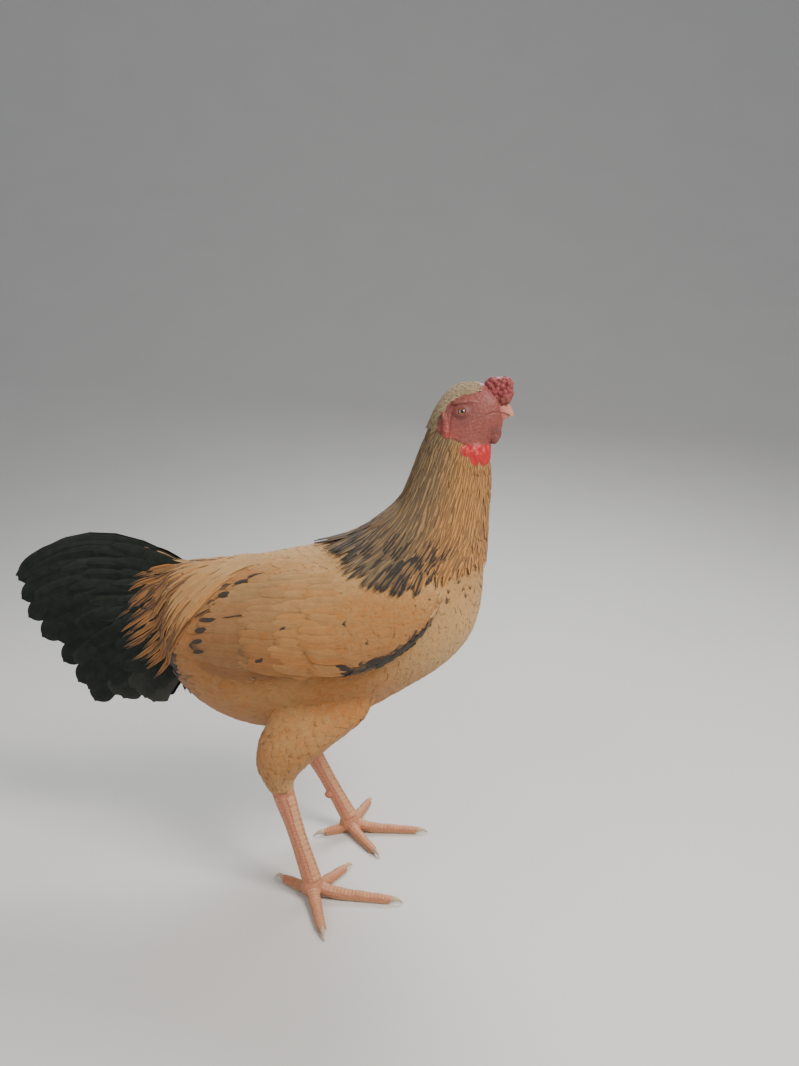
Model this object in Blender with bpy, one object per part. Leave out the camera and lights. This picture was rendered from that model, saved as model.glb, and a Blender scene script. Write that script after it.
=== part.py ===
"""An aseel cock at life size, standing still on its own feet.

Metres, +Z up, +X towards the beak, +Y to the bird's left. The shapes are given from the middle of its two
feet, and the whole bird is then set so that the origin lies on the floor under the middle of its length.
"""

import math

import bpy
import bmesh
from mathutils import Matrix, Vector
from mathutils.bvhtree import BVHTree

# Driving dimensions
GAP = 0.0003
FAR = 0.5
FLAT_ANGLE = 0.02
FEET_TO_MIDDLE = 0.0925
RING_POINTS = 20

# Body, neck and head: one sweep of upright rings. Each row holds the ring's point on the back line (x, z),
# its point on the belly or throat line (x, z), its half width, and how far its widest place sits below the
# middle, from -1 to 1.
RUMP = (
    ((-0.203, 0.366), (-0.199, 0.280), 0.026, 0.0),
    ((-0.188, 0.382), (-0.184, 0.232), 0.048, 0.0),
    ((-0.145, 0.387), (-0.142, 0.200), 0.068, 0.02),
    ((-0.095, 0.396), (-0.088, 0.184), 0.082, 0.04),
    ((-0.045, 0.406), (-0.030, 0.186), 0.090, 0.05),
    ((0.000, 0.415), (0.035, 0.204), 0.092, 0.04),
    ((0.030, 0.425), (0.095, 0.238), 0.090, 0.02),
    ((0.053, 0.437), (0.145, 0.272), 0.085, 0.0),
    ((0.071, 0.450), (0.175, 0.310), 0.076, 0.0),
    ((0.085, 0.462), (0.186, 0.356), 0.065, 0.0),
    ((0.096, 0.477), (0.187, 0.402), 0.054, 0.0),
)
NECK = (
    ((0.096, 0.477), (0.187, 0.402), 0.054, 0.0),
    ((0.104, 0.498), (0.189, 0.448), 0.043, 0.0),
    ((0.113, 0.524), (0.190, 0.486), 0.0345, 0.0),
    ((0.122, 0.552), (0.190, 0.517), 0.0280, 0.0),
)
HEAD = (
    ((0.120, 0.554), (0.192, 0.519), 0.0290, 0.0),
    ((0.133, 0.580), (0.193, 0.532), 0.0270, 0.05),
    ((0.149, 0.597), (0.198, 0.538), 0.0245, 0.05),
    ((0.167, 0.603), (0.203, 0.544), 0.0215, 0.0),
    ((0.184, 0.601), (0.206, 0.552), 0.0175, -0.1),
    ((0.196, 0.592), (0.207, 0.559), 0.0130, -0.1),
)
HEAD_POLE = (0.206, 0.574)
BODY_STEPS = 14
NECK_STEPS = 5
HEAD_STEPS = 7

# Colours: red, green, blue, then roughness
CREAM = (0.52, 0.36, 0.19, 0.75)
BUFF = (0.42, 0.27, 0.12, 0.75)
TAIL_BLACK = (0.012, 0.016, 0.014, 0.5)
RED_SKIN = (0.40, 0.035, 0.035, 0.55)
HORN = (0.55, 0.42, 0.26, 0.4)
LEG_SKIN = (0.58, 0.30, 0.17, 0.55)
EYE_DARK = (0.10, 0.06, 0.04, 0.15)


def clear_scene():
    for old in list(bpy.data.objects):
        bpy.data.objects.remove(old, do_unlink=True)


def material(name, colour):
    """A plain finish of that colour and roughness."""
    made = bpy.data.materials.get(name) or bpy.data.materials.new(name)
    made.use_nodes = True
    shader = made.node_tree.nodes["Principled BSDF"]
    shader.inputs["Base Color"].default_value = (*colour[:3], 1.0)
    shader.inputs["Roughness"].default_value = colour[3]
    return made


def between(a, b, t):
    return a + (b - a) * t


def eased(rows, t):
    """The row at share t of a list of number rows, on a smooth curve through them."""
    place = t * (len(rows) - 1)
    i = min(int(place), len(rows) - 2)
    u = place - i
    p0, p1 = rows[max(i - 1, 0)], rows[i]
    p2, p3 = rows[i + 1], rows[min(i + 2, len(rows) - 1)]
    return [
        0.5 * (2 * b + (c - a) * u + (2 * a - 5 * b + 4 * c - d) * u * u + (3 * b - a - 3 * c + d) * u ** 3)
        for a, b, c, d in zip(p0, p1, p2, p3)
    ]


def new_object(name, mesh_builder, finish=None):
    """Links a new mesh object made from a filled bmesh, with its faces turned outwards."""
    bmesh.ops.recalc_face_normals(mesh_builder, faces=mesh_builder.faces)
    mesh = bpy.data.meshes.new(name)
    mesh_builder.to_mesh(mesh)
    mesh_builder.free()
    made = bpy.data.objects.new(name, mesh)
    bpy.context.scene.collection.objects.link(made)
    if finish is not None:
        mesh.materials.append(finish)
    return made


def loft(name, rings, start_pole=None, end_pole=None, finish=None):
    """A closed skin through rings of equal count, closed at each end by a fan to its pole or its middle."""
    shape = bmesh.new()
    rows = [[shape.verts.new(p) for p in ring] for ring in rings]
    count = len(rows[0])
    for low, high in zip(rows, rows[1:]):
        for k in range(count):
            shape.faces.new((low[k], low[(k + 1) % count], high[(k + 1) % count], high[k]))
    for row, pole in ((rows[0], start_pole), (rows[-1], end_pole)):
        middle = sum((v.co for v in row), Vector()) / count
        hub = shape.verts.new(middle if pole is None else pole)
        for k in range(count):
            shape.faces.new((row[k], row[(k + 1) % count], hub))
    bmesh.ops.triangulate(shape, faces=shape.faces)
    return new_object(name, shape, finish)


def body_ring(dorsal_x, dorsal_z, ventral_x, ventral_z, half_width, low, count=RING_POINTS):
    """An egg-shaped ring in the upright plane through its back point, its belly point and the Y axis."""
    back = Vector((dorsal_x, 0, dorsal_z))
    belly = Vector((ventral_x, 0, ventral_z))
    middle, half = (back + belly) / 2, (back - belly) / 2
    ring = []
    for k in range(count):
        turn = 2 * math.pi * k / count
        side = half_width * math.sin(turn) * (1 - low * math.cos(turn))
        ring.append(middle + half * math.cos(turn) + Vector((0, side, 0)))
    return ring


def body_rings(rows, steps):
    flat = [(*a, *b, w, low) for a, b, w, low in rows]
    return [body_ring(*eased(flat, k / steps)) for k in range(steps + 1)]


def shifted_by_gap(ring):
    """The ring moved off its own plane by the gap, towards the head."""
    normal = (ring[0] - ring[len(ring) // 2]).cross(ring[len(ring) // 4] - ring[3 * len(ring) // 4])
    normal.normalize()
    if normal.x < 0:
        normal.negate()
    return [p + normal * GAP for p in ring]


def evaluated_mesh(source):
    bpy.context.view_layer.update()
    graph = bpy.context.evaluated_depsgraph_get()
    return bpy.data.meshes.new_from_object(source.evaluated_get(graph))


def apply_boolean(base, others, operation, solver):
    """Joins the others to the base, or cuts them from it, by one Boolean on their collection."""
    group = bpy.data.collections.new(base.name + "_pieces")
    bpy.context.scene.collection.children.link(group)
    for other in others:
        for holder in list(other.users_collection):
            holder.objects.unlink(other)
        group.objects.link(other)
    step = base.modifiers.new("Pieces", "BOOLEAN")
    step.operation = operation
    step.operand_type = "COLLECTION"
    step.collection = group
    step.solver = solver
    base.data = evaluated_mesh(base)
    base.modifiers.clear()
    for other in list(group.objects):
        bpy.data.objects.remove(other, do_unlink=True)
    bpy.data.collections.remove(group)


def keep_largest(made):
    """Leaves only the closed surface of most volume."""
    shape = bmesh.new()
    shape.from_mesh(made.data)
    bmesh.ops.dissolve_limit(shape, angle_limit=FLAT_ANGLE, verts=shape.verts, edges=shape.edges)
    bmesh.ops.triangulate(shape, faces=shape.faces)
    left, islands = set(shape.faces), []
    while left:
        front = [left.pop()]
        island = set(front)
        while front:
            face = front.pop()
            for edge in face.edges:
                for near in edge.link_faces:
                    if near in left:
                        left.discard(near)
                        island.add(near)
                        front.append(near)
        islands.append(island)

    def volume(island):
        return abs(sum(f.verts[0].co.dot(f.verts[1].co.cross(f.verts[2].co)) for f in island))

    islands.sort(key=volume)
    for island in islands[:-1]:
        bmesh.ops.delete(shape, geom=list(island), context="FACES")
    bmesh.ops.delete(shape, geom=[v for v in shape.verts if not v.link_faces], context="VERTS")
    shape.to_mesh(made.data)
    shape.free()


def fuse(name, pieces, finish, solver="MANIFOLD"):
    base = pieces[0]
    base.name = name
    if len(pieces) > 1:
        apply_boolean(base, pieces[1:], "UNION", solver)
    base.data.materials.clear()
    base.data.materials.append(finish)
    keep_largest(base)
    return base


def grown(source, by=GAP):
    """A copy of a solid, larger all round by the gap, for cutting what meets it."""
    copy = bpy.data.objects.new(source.name + "_room", source.data.copy())
    bpy.context.scene.collection.objects.link(copy)
    normals = [v.normal.copy() for v in copy.data.vertices]
    for vertex, normal in zip(copy.data.vertices, normals):
        vertex.co += normal * by
    return copy


def cut_clear(made, neighbours, by=GAP, solver="MANIFOLD"):
    """Cuts a solid back from its neighbours, so that they meet face to face with the gap between."""
    apply_boolean(made, [grown(n, by) for n in neighbours], "DIFFERENCE", solver)
    keep_largest(made)
    return made


class Ground:
    """The surface that things lie on: the skins of several solids, read together."""

    def __init__(self, *solids):
        points, faces = [], []
        for solid in solids:
            first = len(points)
            points += [v.co.copy() for v in solid.data.vertices]
            faces += [[first + i for i in f.vertices] for f in solid.data.polygons]
        self.tree = BVHTree.FromPolygons(points, faces)

    def toward(self, middle, point):
        """The outermost place on the ray that runs from a middle out through a point."""
        out = (point - middle).normalized()
        place, normal, _, _ = self.tree.ray_cast(middle + out * FAR, -out)
        return (place, normal) if place else (point, out)

    def beside(self, x, z, side):
        """The outermost place at this x and z, seen from the bird's left (side 1) or right (side -1)."""
        return self.toward(Vector((x, 0, z)), Vector((x, side * 0.01, z)))


def tube_rings(path, radii, count, up=Vector((0, 0, 1))):
    """Rings round a path of points, each with its own half width and half height."""
    rings = []
    for k, point in enumerate(path):
        ahead = path[min(k + 1, len(path) - 1)] - path[max(k - 1, 0)]
        ahead.normalize()
        side = ahead.cross(up).normalized()
        over = side.cross(ahead).normalized()
        wide, high = radii[k]
        rings.append([
            point + side * wide * math.cos(2 * math.pi * j / count) + over * high * math.sin(2 * math.pi * j / count)
            for j in range(count)
        ])
    return rings


# Feathers: each is a thin blade with a raised shaft line, wide and rounded or narrow and pointed
# Pairs of share along the feather and share of its full width
ROUND_TIP = ((0.0, 0.60), (0.40, 0.96), (0.76, 1.0), (0.94, 0.72))
POINTED_TIP = ((0.0, 0.55), (0.36, 1.0), (0.66, 0.86), (0.87, 0.46))
FALLING_TIP = ((0.0, 0.55), (0.22, 0.90), (0.42, 1.0), (0.60, 0.94), (0.76, 0.74), (0.90, 0.42))
LONG_TIP = ((0.0, 0.55), (0.28, 0.86), (0.55, 1.0), (0.80, 0.98), (0.95, 0.70))
SQUARE_TIP = ((0.0, 0.55), (0.28, 0.86), (0.60, 1.0), (0.97, 0.92))
WIDE_TIP = ((0.0, 0.55), (0.42, 0.97), (0.80, 0.98), (0.97, 0.60))


def blade(place_on, root, tip, half_width, thick, outline=ROUND_TIP, lifts=(-0.0012, 0.0012), tuck=0.0, bow=0.0):
    """A feather on a surface: place_on(along, across, lift) gives its points, from its root to its tip.

    Root and tip are (along, across) pairs. The blade rises from the first lift to the second, bows sideways by
    bow, and leans by tuck so that one edge goes under its neighbour and the other over it.
    """
    rings = []
    for t, share in outline:
        along = between(root[0], tip[0], t)
        across = between(root[1], tip[1], t) + bow * 4 * t * (1 - t)
        rise = between(lifts[0], lifts[1], min(1.0, t * 1.6))
        wide = half_width * share
        rings.append([
            place_on(along, across, -wide, rise - tuck),
            place_on(along, across, 0.0, rise + thick * 0.5),
            place_on(along, across, wide, rise + tuck),
            place_on(along, across, 0.0, rise - thick * 0.5),
        ])
    end = place_on(tip[0], tip[1], 0.0, lifts[1])
    return loft("blade", rings, end_pole=end)


# Torso, from the rump to the foot of the neck
def make_torso():
    return loft("torso", body_rings(RUMP, BODY_STEPS), finish=material("cream_feather", CREAM))


# Neck, from the torso to the head, and the cape of long feathers that falls from it over the shoulders
CAPE = (
    # back point, throat point, half width, how far the sides hang lower, thickness
    ((0.016, 0.396), (0.158, 0.376), 0.104, 0.016, 0.0028),
    ((0.036, 0.412), (0.164, 0.396), 0.098, 0.014, 0.0028),
    ((0.060, 0.430), (0.172, 0.412), 0.086, 0.010, 0.0030),
    ((0.079, 0.456), (0.179, 0.432), 0.068, 0.006, 0.0032),
    ((0.096, 0.500), (0.184, 0.460), 0.048, 0.003, 0.0026),
    ((0.110, 0.538), (0.187, 0.488), 0.036, 0.000, 0.0014),
    ((0.121, 0.558), (0.187, 0.508), 0.028, 0.000, 0.0002),
)
CAPE_HEM = 0.20
CAPE_STEPS = 6
CAPE_POINTS = 18
HACKLE_TIERS = (
    # blades, share of the cape at the root and at the tip, half width, widest turn from the nape
    (12, 0.48, 0.015, 0.0078, 2.50),
    (9, 0.68, 0.200, 0.0072, 2.55),
    (6, 0.88, 0.430, 0.0064, 2.55),
)
HACKLE_THICK = 0.0013


def cape_point(ground, share, turn, lift=0.0):
    """A place on the cape: share 0 at the tips and 1 under the head, turn 0 on the nape."""
    rows = [(*a, *b, w, dip, thick) for a, b, w, dip, thick in CAPE]
    back_x, back_z, throat_x, throat_z, wide, dip, thick = eased(rows, share)
    back, throat = Vector((back_x, 0, back_z)), Vector((throat_x, 0, throat_z))
    middle, half = (back + throat) / 2, (back - throat) / 2
    sag = dip * math.sin(turn) ** 2
    guess = middle + half * math.cos(turn) + Vector((0, wide * math.sin(turn), -sag))
    place, normal = ground.toward(middle - Vector((0, 0, sag * 0.5)), guess)
    return place + normal * (thick + lift)


def cape_radius(share):
    return eased([row[2:3] for row in CAPE], share)[0]


def make_hackle(ground):
    """Tiers of long narrow feathers round the neck, each tier's tips over the roots of the next one down."""
    blades = []
    for tier, (count, root, tip, half_width, widest) in enumerate(HACKLE_TIERS):
        for k in range(count):
            turn = widest * (2 * (k + 0.5 * (tier % 2) * 0.98) / (count - 1) - 1)
            if abs(turn) > widest:
                continue
            wave = math.sin(k * 2.4 + tier * 1.7)
            front = max(0.0, abs(turn) - 1.5)
            end = tip + 0.020 * wave + 0.10 * front

            def place_on(share, around, across, lift):
                return cape_point(ground, share, around + across / max(0.02, cape_radius(share)), lift)

            blades.append(blade(
                place_on, (root + 0.02 * wave, turn), (end, turn + 0.03 * math.cos(k * 1.9)),
                half_width, HACKLE_THICK, POINTED_TIP, (-0.0016, 0.0012 + 0.0004 * wave),
            ))
    return blades


def make_neck(torso, wings, head):
    rings = body_rings(NECK, NECK_STEPS)
    rings[0] = shifted_by_gap(rings[0])
    core = loft("neck", rings)
    ground = Ground(core, torso, *wings)
    turns = [2 * math.pi * k / CAPE_POINTS for k in range(CAPE_POINTS)]
    shares = [between(CAPE_HEM, 1.0, k / CAPE_STEPS) for k in range(CAPE_STEPS + 1)]
    cape = loft("cape", [[cape_point(ground, share, a) for a in turns] for share in shares])
    neck = fuse("neck", [core, cape, *make_hackle(ground)], material("hackle_feather", BUFF))
    return cut_clear(neck, [torso, head, *wings])


# Head, whose front carries the beak and whose brow carries the comb
EYE_X = 0.1600
EYE_Z = 0.5690
EYE_RADIUS = 0.0066
EYE_SINK = 0.0038
LID_RADIUS = 0.0064
LID_TUBE = 0.0012
LID_POINTS = 10
BROWS = (
    # middle, half size, tilt
    (Vector((0.1690, 0.0188, 0.5800)), (0.0155, 0.0044, 0.0036), 0.14),
)
EAR = (Vector((0.1385, 0.0250, 0.5610)), (0.0034, 0.0026, 0.0050))
MOUTH_Z = 0.5685
MOUTH_LINE = (Vector((0.1985, 0.0150, 0.5680)), (0.0130, 0.0060, 0.0007))


def bulb(name, middle, size, turn=0.0, detail=2, square=1.0):
    """A rounded lump, or a squarer one where square is below 1."""
    shape = bmesh.new()
    bmesh.ops.create_icosphere(shape, subdivisions=detail, radius=1.0)
    for vertex in shape.verts:
        vertex.co = Vector([math.copysign(abs(c) ** square, c) for c in vertex.co])
    placed = Matrix.Translation(middle) @ Matrix.Rotation(turn, 4, "Y") @ Matrix.Diagonal((*size, 1.0))
    bmesh.ops.transform(shape, matrix=placed, verts=shape.verts)
    return new_object(name, shape)


def mirrored(place, side):
    return Vector((place.x, place.y * side, place.z))


def eye_middle(ground, side):
    place, normal = ground.beside(EYE_X, EYE_Z, side)
    return place - normal * EYE_SINK


def make_lid(ground, side):
    """A low ring of skin round the eye, a little longer than it is high."""
    place, normal = ground.beside(EYE_X, EYE_Z, side)
    along = Vector((1, 0, 0)) - normal * normal.x
    along.normalize()
    over = normal.cross(along)
    shape = bmesh.new()
    rows = []
    for k in range(LID_POINTS):
        a = 2 * math.pi * k / LID_POINTS
        out = along * math.cos(a) * 1.12 + over * math.sin(a) * 0.86
        row = []
        for j in range(4):
            b = 2 * math.pi * j / 4
            row.append(shape.verts.new(place + out * (LID_RADIUS + LID_TUBE * math.cos(b))
                                       + normal * LID_TUBE * (math.sin(b) - 0.1)))
        rows.append(row)
    for row, after in zip(rows, rows[1:] + rows[:1]):
        for j in range(4):
            shape.faces.new((row[j], after[j], after[(j + 1) % 4], row[(j + 1) % 4]))
    bmesh.ops.triangulate(shape, faces=shape.faces)
    return new_object("lid", shape)


def make_head():
    """Skull and bare face, with brows and lids, dented by the ears and slit at the corners of the mouth."""
    rings = body_rings(HEAD, HEAD_STEPS)
    rings[0] = shifted_by_gap(rings[0])
    skull = loft("head", rings, end_pole=Vector((HEAD_POLE[0], 0, HEAD_POLE[1])))
    ground = Ground(skull)
    pieces, dents = [skull], []
    for side in (-1, 1):
        for middle, size, tilt in BROWS:
            pieces.append(bulb("brow", mirrored(middle, side), size, tilt, 2))
        pieces.append(make_lid(ground, side))
        dents.append(bulb("ear", mirrored(EAR[0], side), EAR[1], 0.0, 1))
        dents.append(bulb("mouth", mirrored(MOUTH_LINE[0], side), MOUTH_LINE[1], 0.0, 1))
    eyes = [make_eye(ground, side, label) for label, side in (("right", -1), ("left", 1))]
    head = fuse("head", pieces, material("red_skin", RED_SKIN))
    apply_boolean(head, dents, "DIFFERENCE", "MANIFOLD")
    return cut_clear(head, eyes)


def make_eye(ground, side, label):
    shape = bmesh.new()
    bmesh.ops.create_uvsphere(shape, u_segments=10, v_segments=7, radius=EYE_RADIUS)
    bmesh.ops.translate(shape, vec=eye_middle(ground, side), verts=shape.verts)
    return new_object("eye_" + label, shape, material("eye", EYE_DARK))


# Wings, folded against the sides: a thick front that holds the folded arm, and tiers of feathers behind it
WING_ROWS = (
    # x, lowest z, highest z, thickness
    (0.143, 0.362, 0.376, 0.004),
    (0.128, 0.336, 0.390, 0.012),
    (0.100, 0.307, 0.400, 0.018),
    (0.060, 0.288, 0.401, 0.021),
    (0.010, 0.279, 0.396, 0.020),
    (-0.040, 0.272, 0.386, 0.017),
    (-0.080, 0.269, 0.370, 0.013),
    (-0.108, 0.272, 0.346, 0.008),
    (-0.128, 0.288, 0.322, 0.0045),
)
WING_STEPS = 10
WING_OUTER = 7
WING_INNER = 3
WING_SINK = 0.004
WING_EDGE = 0.55
WING_OFF_BODY = 0.0032
WING_THICK = 0.0014
WING_TIERS = (
    # feathers, first and last root (x, z), first and last tip (x, z), half width, outline, lift at the tip
    (2, (0.020, 0.286), (0.010, 0.296), (-0.128, 0.268), (-0.143, 0.281), 0.0090, POINTED_TIP, 0.0002),
    (6, (-0.010, 0.296), (-0.020, 0.376), (-0.142, 0.291), (-0.092, 0.370), 0.0125, ROUND_TIP, 0.0010),
    (4, (0.058, 0.300), (0.034, 0.382), (-0.004, 0.294), (-0.030, 0.372), 0.0145, ROUND_TIP, 0.0014),
    (3, (0.112, 0.326), (0.090, 0.380), (0.060, 0.312), (0.034, 0.376), 0.0145, ROUND_TIP, 0.0016),
)
WING_REAR_BULGE = 0.012


def wing_swell(v):
    """The folded wing's thickness at share v of its height: a blunt low edge, fullest at a third, thin on top."""
    if v < 0.33:
        return between(WING_EDGE, 1.0, math.sin(max(0.0, v) / 0.33 * math.pi / 2))
    return math.cos((min(1.0, v) - 0.33) / 0.67 * math.pi / 2) * 0.94 + 0.06


def wing_row(x):
    """The wing's low edge, high edge and thickness at this x."""
    for front, rear in zip(WING_ROWS, WING_ROWS[1:]):
        if x >= rear[0]:
            t = (front[0] - x) / (front[0] - rear[0])
            return [between(a, b, max(0.0, t)) for a, b in zip(front[1:], rear[1:])]
    return WING_ROWS[-1][1:]


def wing_point(ground, side, x, z, lift):
    """A place above the folded wing's surface, or above the body behind it."""
    low, high, thick = wing_row(x)
    place, normal = ground.beside(x, z, side)
    return place + normal * (max(thick * wing_swell((z - low) / (high - low)), WING_OFF_BODY) + lift)


def make_wing_feathers(ground, side):
    blades = []
    for count, low_root, high_root, low_tip, high_tip, half_width, outline, lift in WING_TIERS:
        for k in range(count):
            t = k / (count - 1)
            root = [between(a, b, t) for a, b in zip(low_root, high_root)]
            tip = [between(a, b, t) for a, b in zip(low_tip, high_tip)]
            tip[0] -= WING_REAR_BULGE * 4 * t * (1 - t)
            slope = (tip[1] - root[1]) / (tip[0] - root[0])

            def place_on(x, z, across, rise):
                lean = math.atan(slope)
                return wing_point(ground, side, x - across * math.sin(lean), z + across * math.cos(lean), rise)

            wave = math.sin(k * 1.7 + count)
            blades.append(blade(place_on, root, tip, half_width * (1 + 0.03 * wave), WING_THICK, outline,
                                (-0.0022, lift + 0.0002 * wave), tuck=-0.0006, bow=-0.003))
    return blades


def make_wing(torso, side, label):
    ground = Ground(torso)
    rings = []
    for step in range(WING_STEPS + 1):
        x, low, high, thick = eased(WING_ROWS, step / WING_STEPS)
        outer, inner = [], []
        for k in range(WING_OUTER):
            v = k / (WING_OUTER - 1)
            place, normal = ground.beside(x, between(low, high, v), side)
            outer.append(place + normal * thick * wing_swell(v))
        for k in range(WING_INNER):
            v = 1 - (k + 0.5) / WING_INNER
            place, normal = ground.beside(x, between(low, high, v), side)
            inner.append(place - normal * WING_SINK)
        rings.append(outer + inner)
    pad = loft("pad", rings)
    wing = fuse("wing_" + label, [pad, *make_wing_feathers(ground, side)], material("cream_feather", CREAM))
    return cut_clear(wing, [torso])


# Thighs, feathered down to the hock
HOCK = {"right": Vector((-0.046, -0.078, 0.132)), "left": Vector((-0.051, 0.074, 0.120))}
THIGH_ROWS = (
    # from the hock: forward, outward, up, half length fore and aft, half width
    (0.003, 0.000, 0.000, 0.0145, 0.0125),
    (0.000, 0.000, 0.012, 0.0180, 0.0150),
    (0.003, 0.000, 0.030, 0.0290, 0.0210),
    (0.020, -0.004, 0.058, 0.0440, 0.0270),
    (0.038, -0.017, 0.086, 0.0500, 0.0270),
    (0.044, -0.038, 0.110, 0.0420, 0.0230),
    (0.046, -0.056, 0.132, 0.0300, 0.0180),
)
THIGH_STEPS = 9
THIGH_POINTS = 14


def make_thigh(torso, wing, side, label):
    hock = HOCK[label]
    rings = []
    for step in range(THIGH_STEPS + 1):
        forward, outward, up, length, width = eased(THIGH_ROWS, step / THIGH_STEPS)
        middle = hock + Vector((forward, side * outward, up))
        rings.append([
            middle + Vector((length * math.cos(a), width * math.sin(a), 0))
            for a in (2 * math.pi * k / THIGH_POINTS for k in range(THIGH_POINTS))
        ])
    thigh = loft("thigh_" + label, rings, finish=material("cream_feather", CREAM))
    return cut_clear(thigh, [torso, wing])


# Shanks, from the hock to the ball of the foot
BALL = {"right": Vector((-0.0087, -0.0774, 0.020)), "left": Vector((0.0096, 0.0717, 0.020))}
SHANK_ROWS = (
    # half width across, half depth fore and aft
    (0.0105, 0.0125),
    (0.0095, 0.0118),
    (0.0085, 0.0105),
    (0.0085, 0.0105),
    (0.0100, 0.0115),
)
SHANK_POINTS = 10
SHANK_FOOT = 0.003
SHANK_PLATES = 8
SHANK_PLATE_STEP = 0.0006
SHANK_SIDE_GROOVE = 0.0005
SPUR_HEIGHT = 0.36
SPUR_RADIUS = 0.0042
SPUR_LENGTH = 0.0080


def shank_ring(top, low, t, plate, down):
    wide, deep = eased(SHANK_ROWS, t)
    middle = top.lerp(low, t)
    fore = Vector((1, 0, 0)).lerp(Vector((0, 1, 0)).cross(down).normalized() * -1, min(1.0, t * 3))
    ring = []
    for k in range(SHANK_POINTS):
        a = 2 * math.pi * k / SHANK_POINTS
        front = math.cos(a) > 0.1
        grow = plate if front else 0.0
        grow -= SHANK_SIDE_GROOVE if abs(math.cos(a)) < 0.3 else 0.0
        ring.append(middle + fore * (deep + grow) * math.cos(a) + Vector((0, (wide + grow) * math.sin(a), 0)))
    return ring


def make_shank(label, side):
    """A leg shank with overlapping plates down its front and a spur's small knob on its inner rear side."""
    top, ball = HOCK[label] + Vector((0.003, 0, -GAP)), BALL[label]
    down = (ball - top).normalized()
    low = ball - down * SHANK_FOOT
    rings = [shank_ring(top, low, 0.0, 0.0, down)]
    for k in range(SHANK_PLATES):
        start, end = (k + 0.15) / SHANK_PLATES, (k + 1) / SHANK_PLATES
        rings.append(shank_ring(top, low, start, 0.0, down))
        rings.append(shank_ring(top, low, between(start, end, 0.82), SHANK_PLATE_STEP, down))
    rings.append(shank_ring(top, low, 1.0, 0.0, down))
    shank = loft("shank_" + label, rings)
    place = low.lerp(top, SPUR_HEIGHT)
    out = Vector((-0.55, -side * 0.84, 0.05)).normalized()
    spur = loft("spur", tube_rings(
        [place + out * (0.002 + SPUR_LENGTH * k / 3) for k in range(4)],
        [(SPUR_RADIUS * (1 - 0.18 * k), SPUR_RADIUS * (1 - 0.18 * k)) for k in range(4)], 8,
    ), end_pole=place + out * (0.006 + SPUR_LENGTH))
    return fuse("shank_" + label, [shank, spur], material("leg_skin", LEG_SKIN))


# Feet: the ball, and three toes forward and one back, each with plates on top and flat on the floor
TOES = {
    # name: turn from straight ahead in degrees, counted outwards, length with the claw, plates
    "right": {
        "middle": (2.2, 0.109, 7), "outer": (68.3, 0.085, 5), "inner": (-61.4, 0.076, 4), "hind": (-149.6, 0.062, 3),
    },
    "left": {
        "middle": (3.0, 0.107, 7), "outer": (79.0, 0.091, 5), "inner": (-51.5, 0.081, 4), "hind": (-156.0, 0.050, 2),
    },
}
CLAW_LENGTH = 0.016
CLAW_STEPS = 3
CLAW_CURVE = 0.0022
TOE_ROOT_RADIUS = 0.0086
TOE_END_RADIUS = 0.0054
TOE_POINTS = 8
TOE_SINK = 0.0013
TOE_RISE = 2.6
PLATE_STEP = 0.00055
PLATE_FROM = 0.14
PAD_SWELL = 0.0011
BALL_RADIUS = 0.0130
BALL_SINK = 0.0072
FLOOR_BOX = 0.5


def cut_floor(made):
    """Cuts a foot piece flat at the floor."""
    bpy.ops.mesh.primitive_cube_add(size=FLOOR_BOX, location=(0, 0, -FLOOR_BOX / 2))
    apply_boolean(made, [bpy.context.object], "DIFFERENCE", "MANIFOLD")
    return made


def toe_shape(label, side, toe):
    """The toe's heading, and a function that gives its middle and radius at a share of its length."""
    turn, length, _ = TOES[label][toe]
    angle = math.radians(turn) * side
    heading = Vector((math.cos(angle), math.sin(angle), 0))
    ball = BALL[label]
    reach = length - CLAW_LENGTH

    def at(t):
        radius = between(TOE_ROOT_RADIUS, TOE_END_RADIUS, t) * (1 + 0.05 * math.sin(t * 9.4))
        settle = max(0.0, 1 - t * TOE_RISE) ** 1.5
        height = between(radius - TOE_SINK, ball.z - 0.005, settle)
        return Vector((ball.x, ball.y, 0)) + heading * reach * t + Vector((0, 0, height)), radius

    return heading, at


def make_toe(label, side, toe, neighbours):
    """A toe with overlapping plates along its top and soft pads below."""
    heading, at = toe_shape(label, side, toe)
    across = heading.cross(Vector((0, 0, 1)))
    plates = TOES[label][toe][2]
    stops = [(0.0, 0.0)]
    for k in range(plates):
        t = between(PLATE_FROM, 1.0, k / plates)
        stops += [(t, 0.0), (between(t, between(PLATE_FROM, 1.0, (k + 1) / plates), 0.86), PLATE_STEP)]
    stops.append((1.0, 0.0))
    rings = []
    for t, plate in stops:
        middle, radius = at(t)
        pad = PAD_SWELL * max(0.0, math.sin(t * math.pi * 3.0)) * (1 if t > PLATE_FROM else 0)
        ring = []
        for j in range(TOE_POINTS):
            a = 2 * math.pi * (j + 0.5) / TOE_POINTS
            top = math.sin(a) > 0
            size = radius + (plate if top else pad)
            ring.append(middle + across * size * math.cos(a) + Vector((0, 0, size * math.sin(a))))
        rings.append(ring)
    made = loft(f"toe_{toe}_{label}", rings, finish=material("leg_skin", LEG_SKIN))
    return cut_clear(cut_floor(made), neighbours)


def make_foot(label, shank):
    ball = BALL[label]
    rings = []
    for k in range(1, 8):
        lean = math.pi * k / 8
        ring_radius = BALL_RADIUS * math.sin(lean)
        height = ball.z - BALL_SINK + BALL_RADIUS * 1.15 * math.cos(lean)
        rings.append([
            Vector((ball.x + ring_radius * 1.1 * math.cos(a), ball.y + ring_radius * math.sin(a), height))
            for a in (2 * math.pi * j / 12 for j in range(12))
        ])
    foot = loft("foot_" + label, rings, finish=material("leg_skin", LEG_SKIN))
    return cut_clear(cut_floor(foot), [shank])


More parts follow.
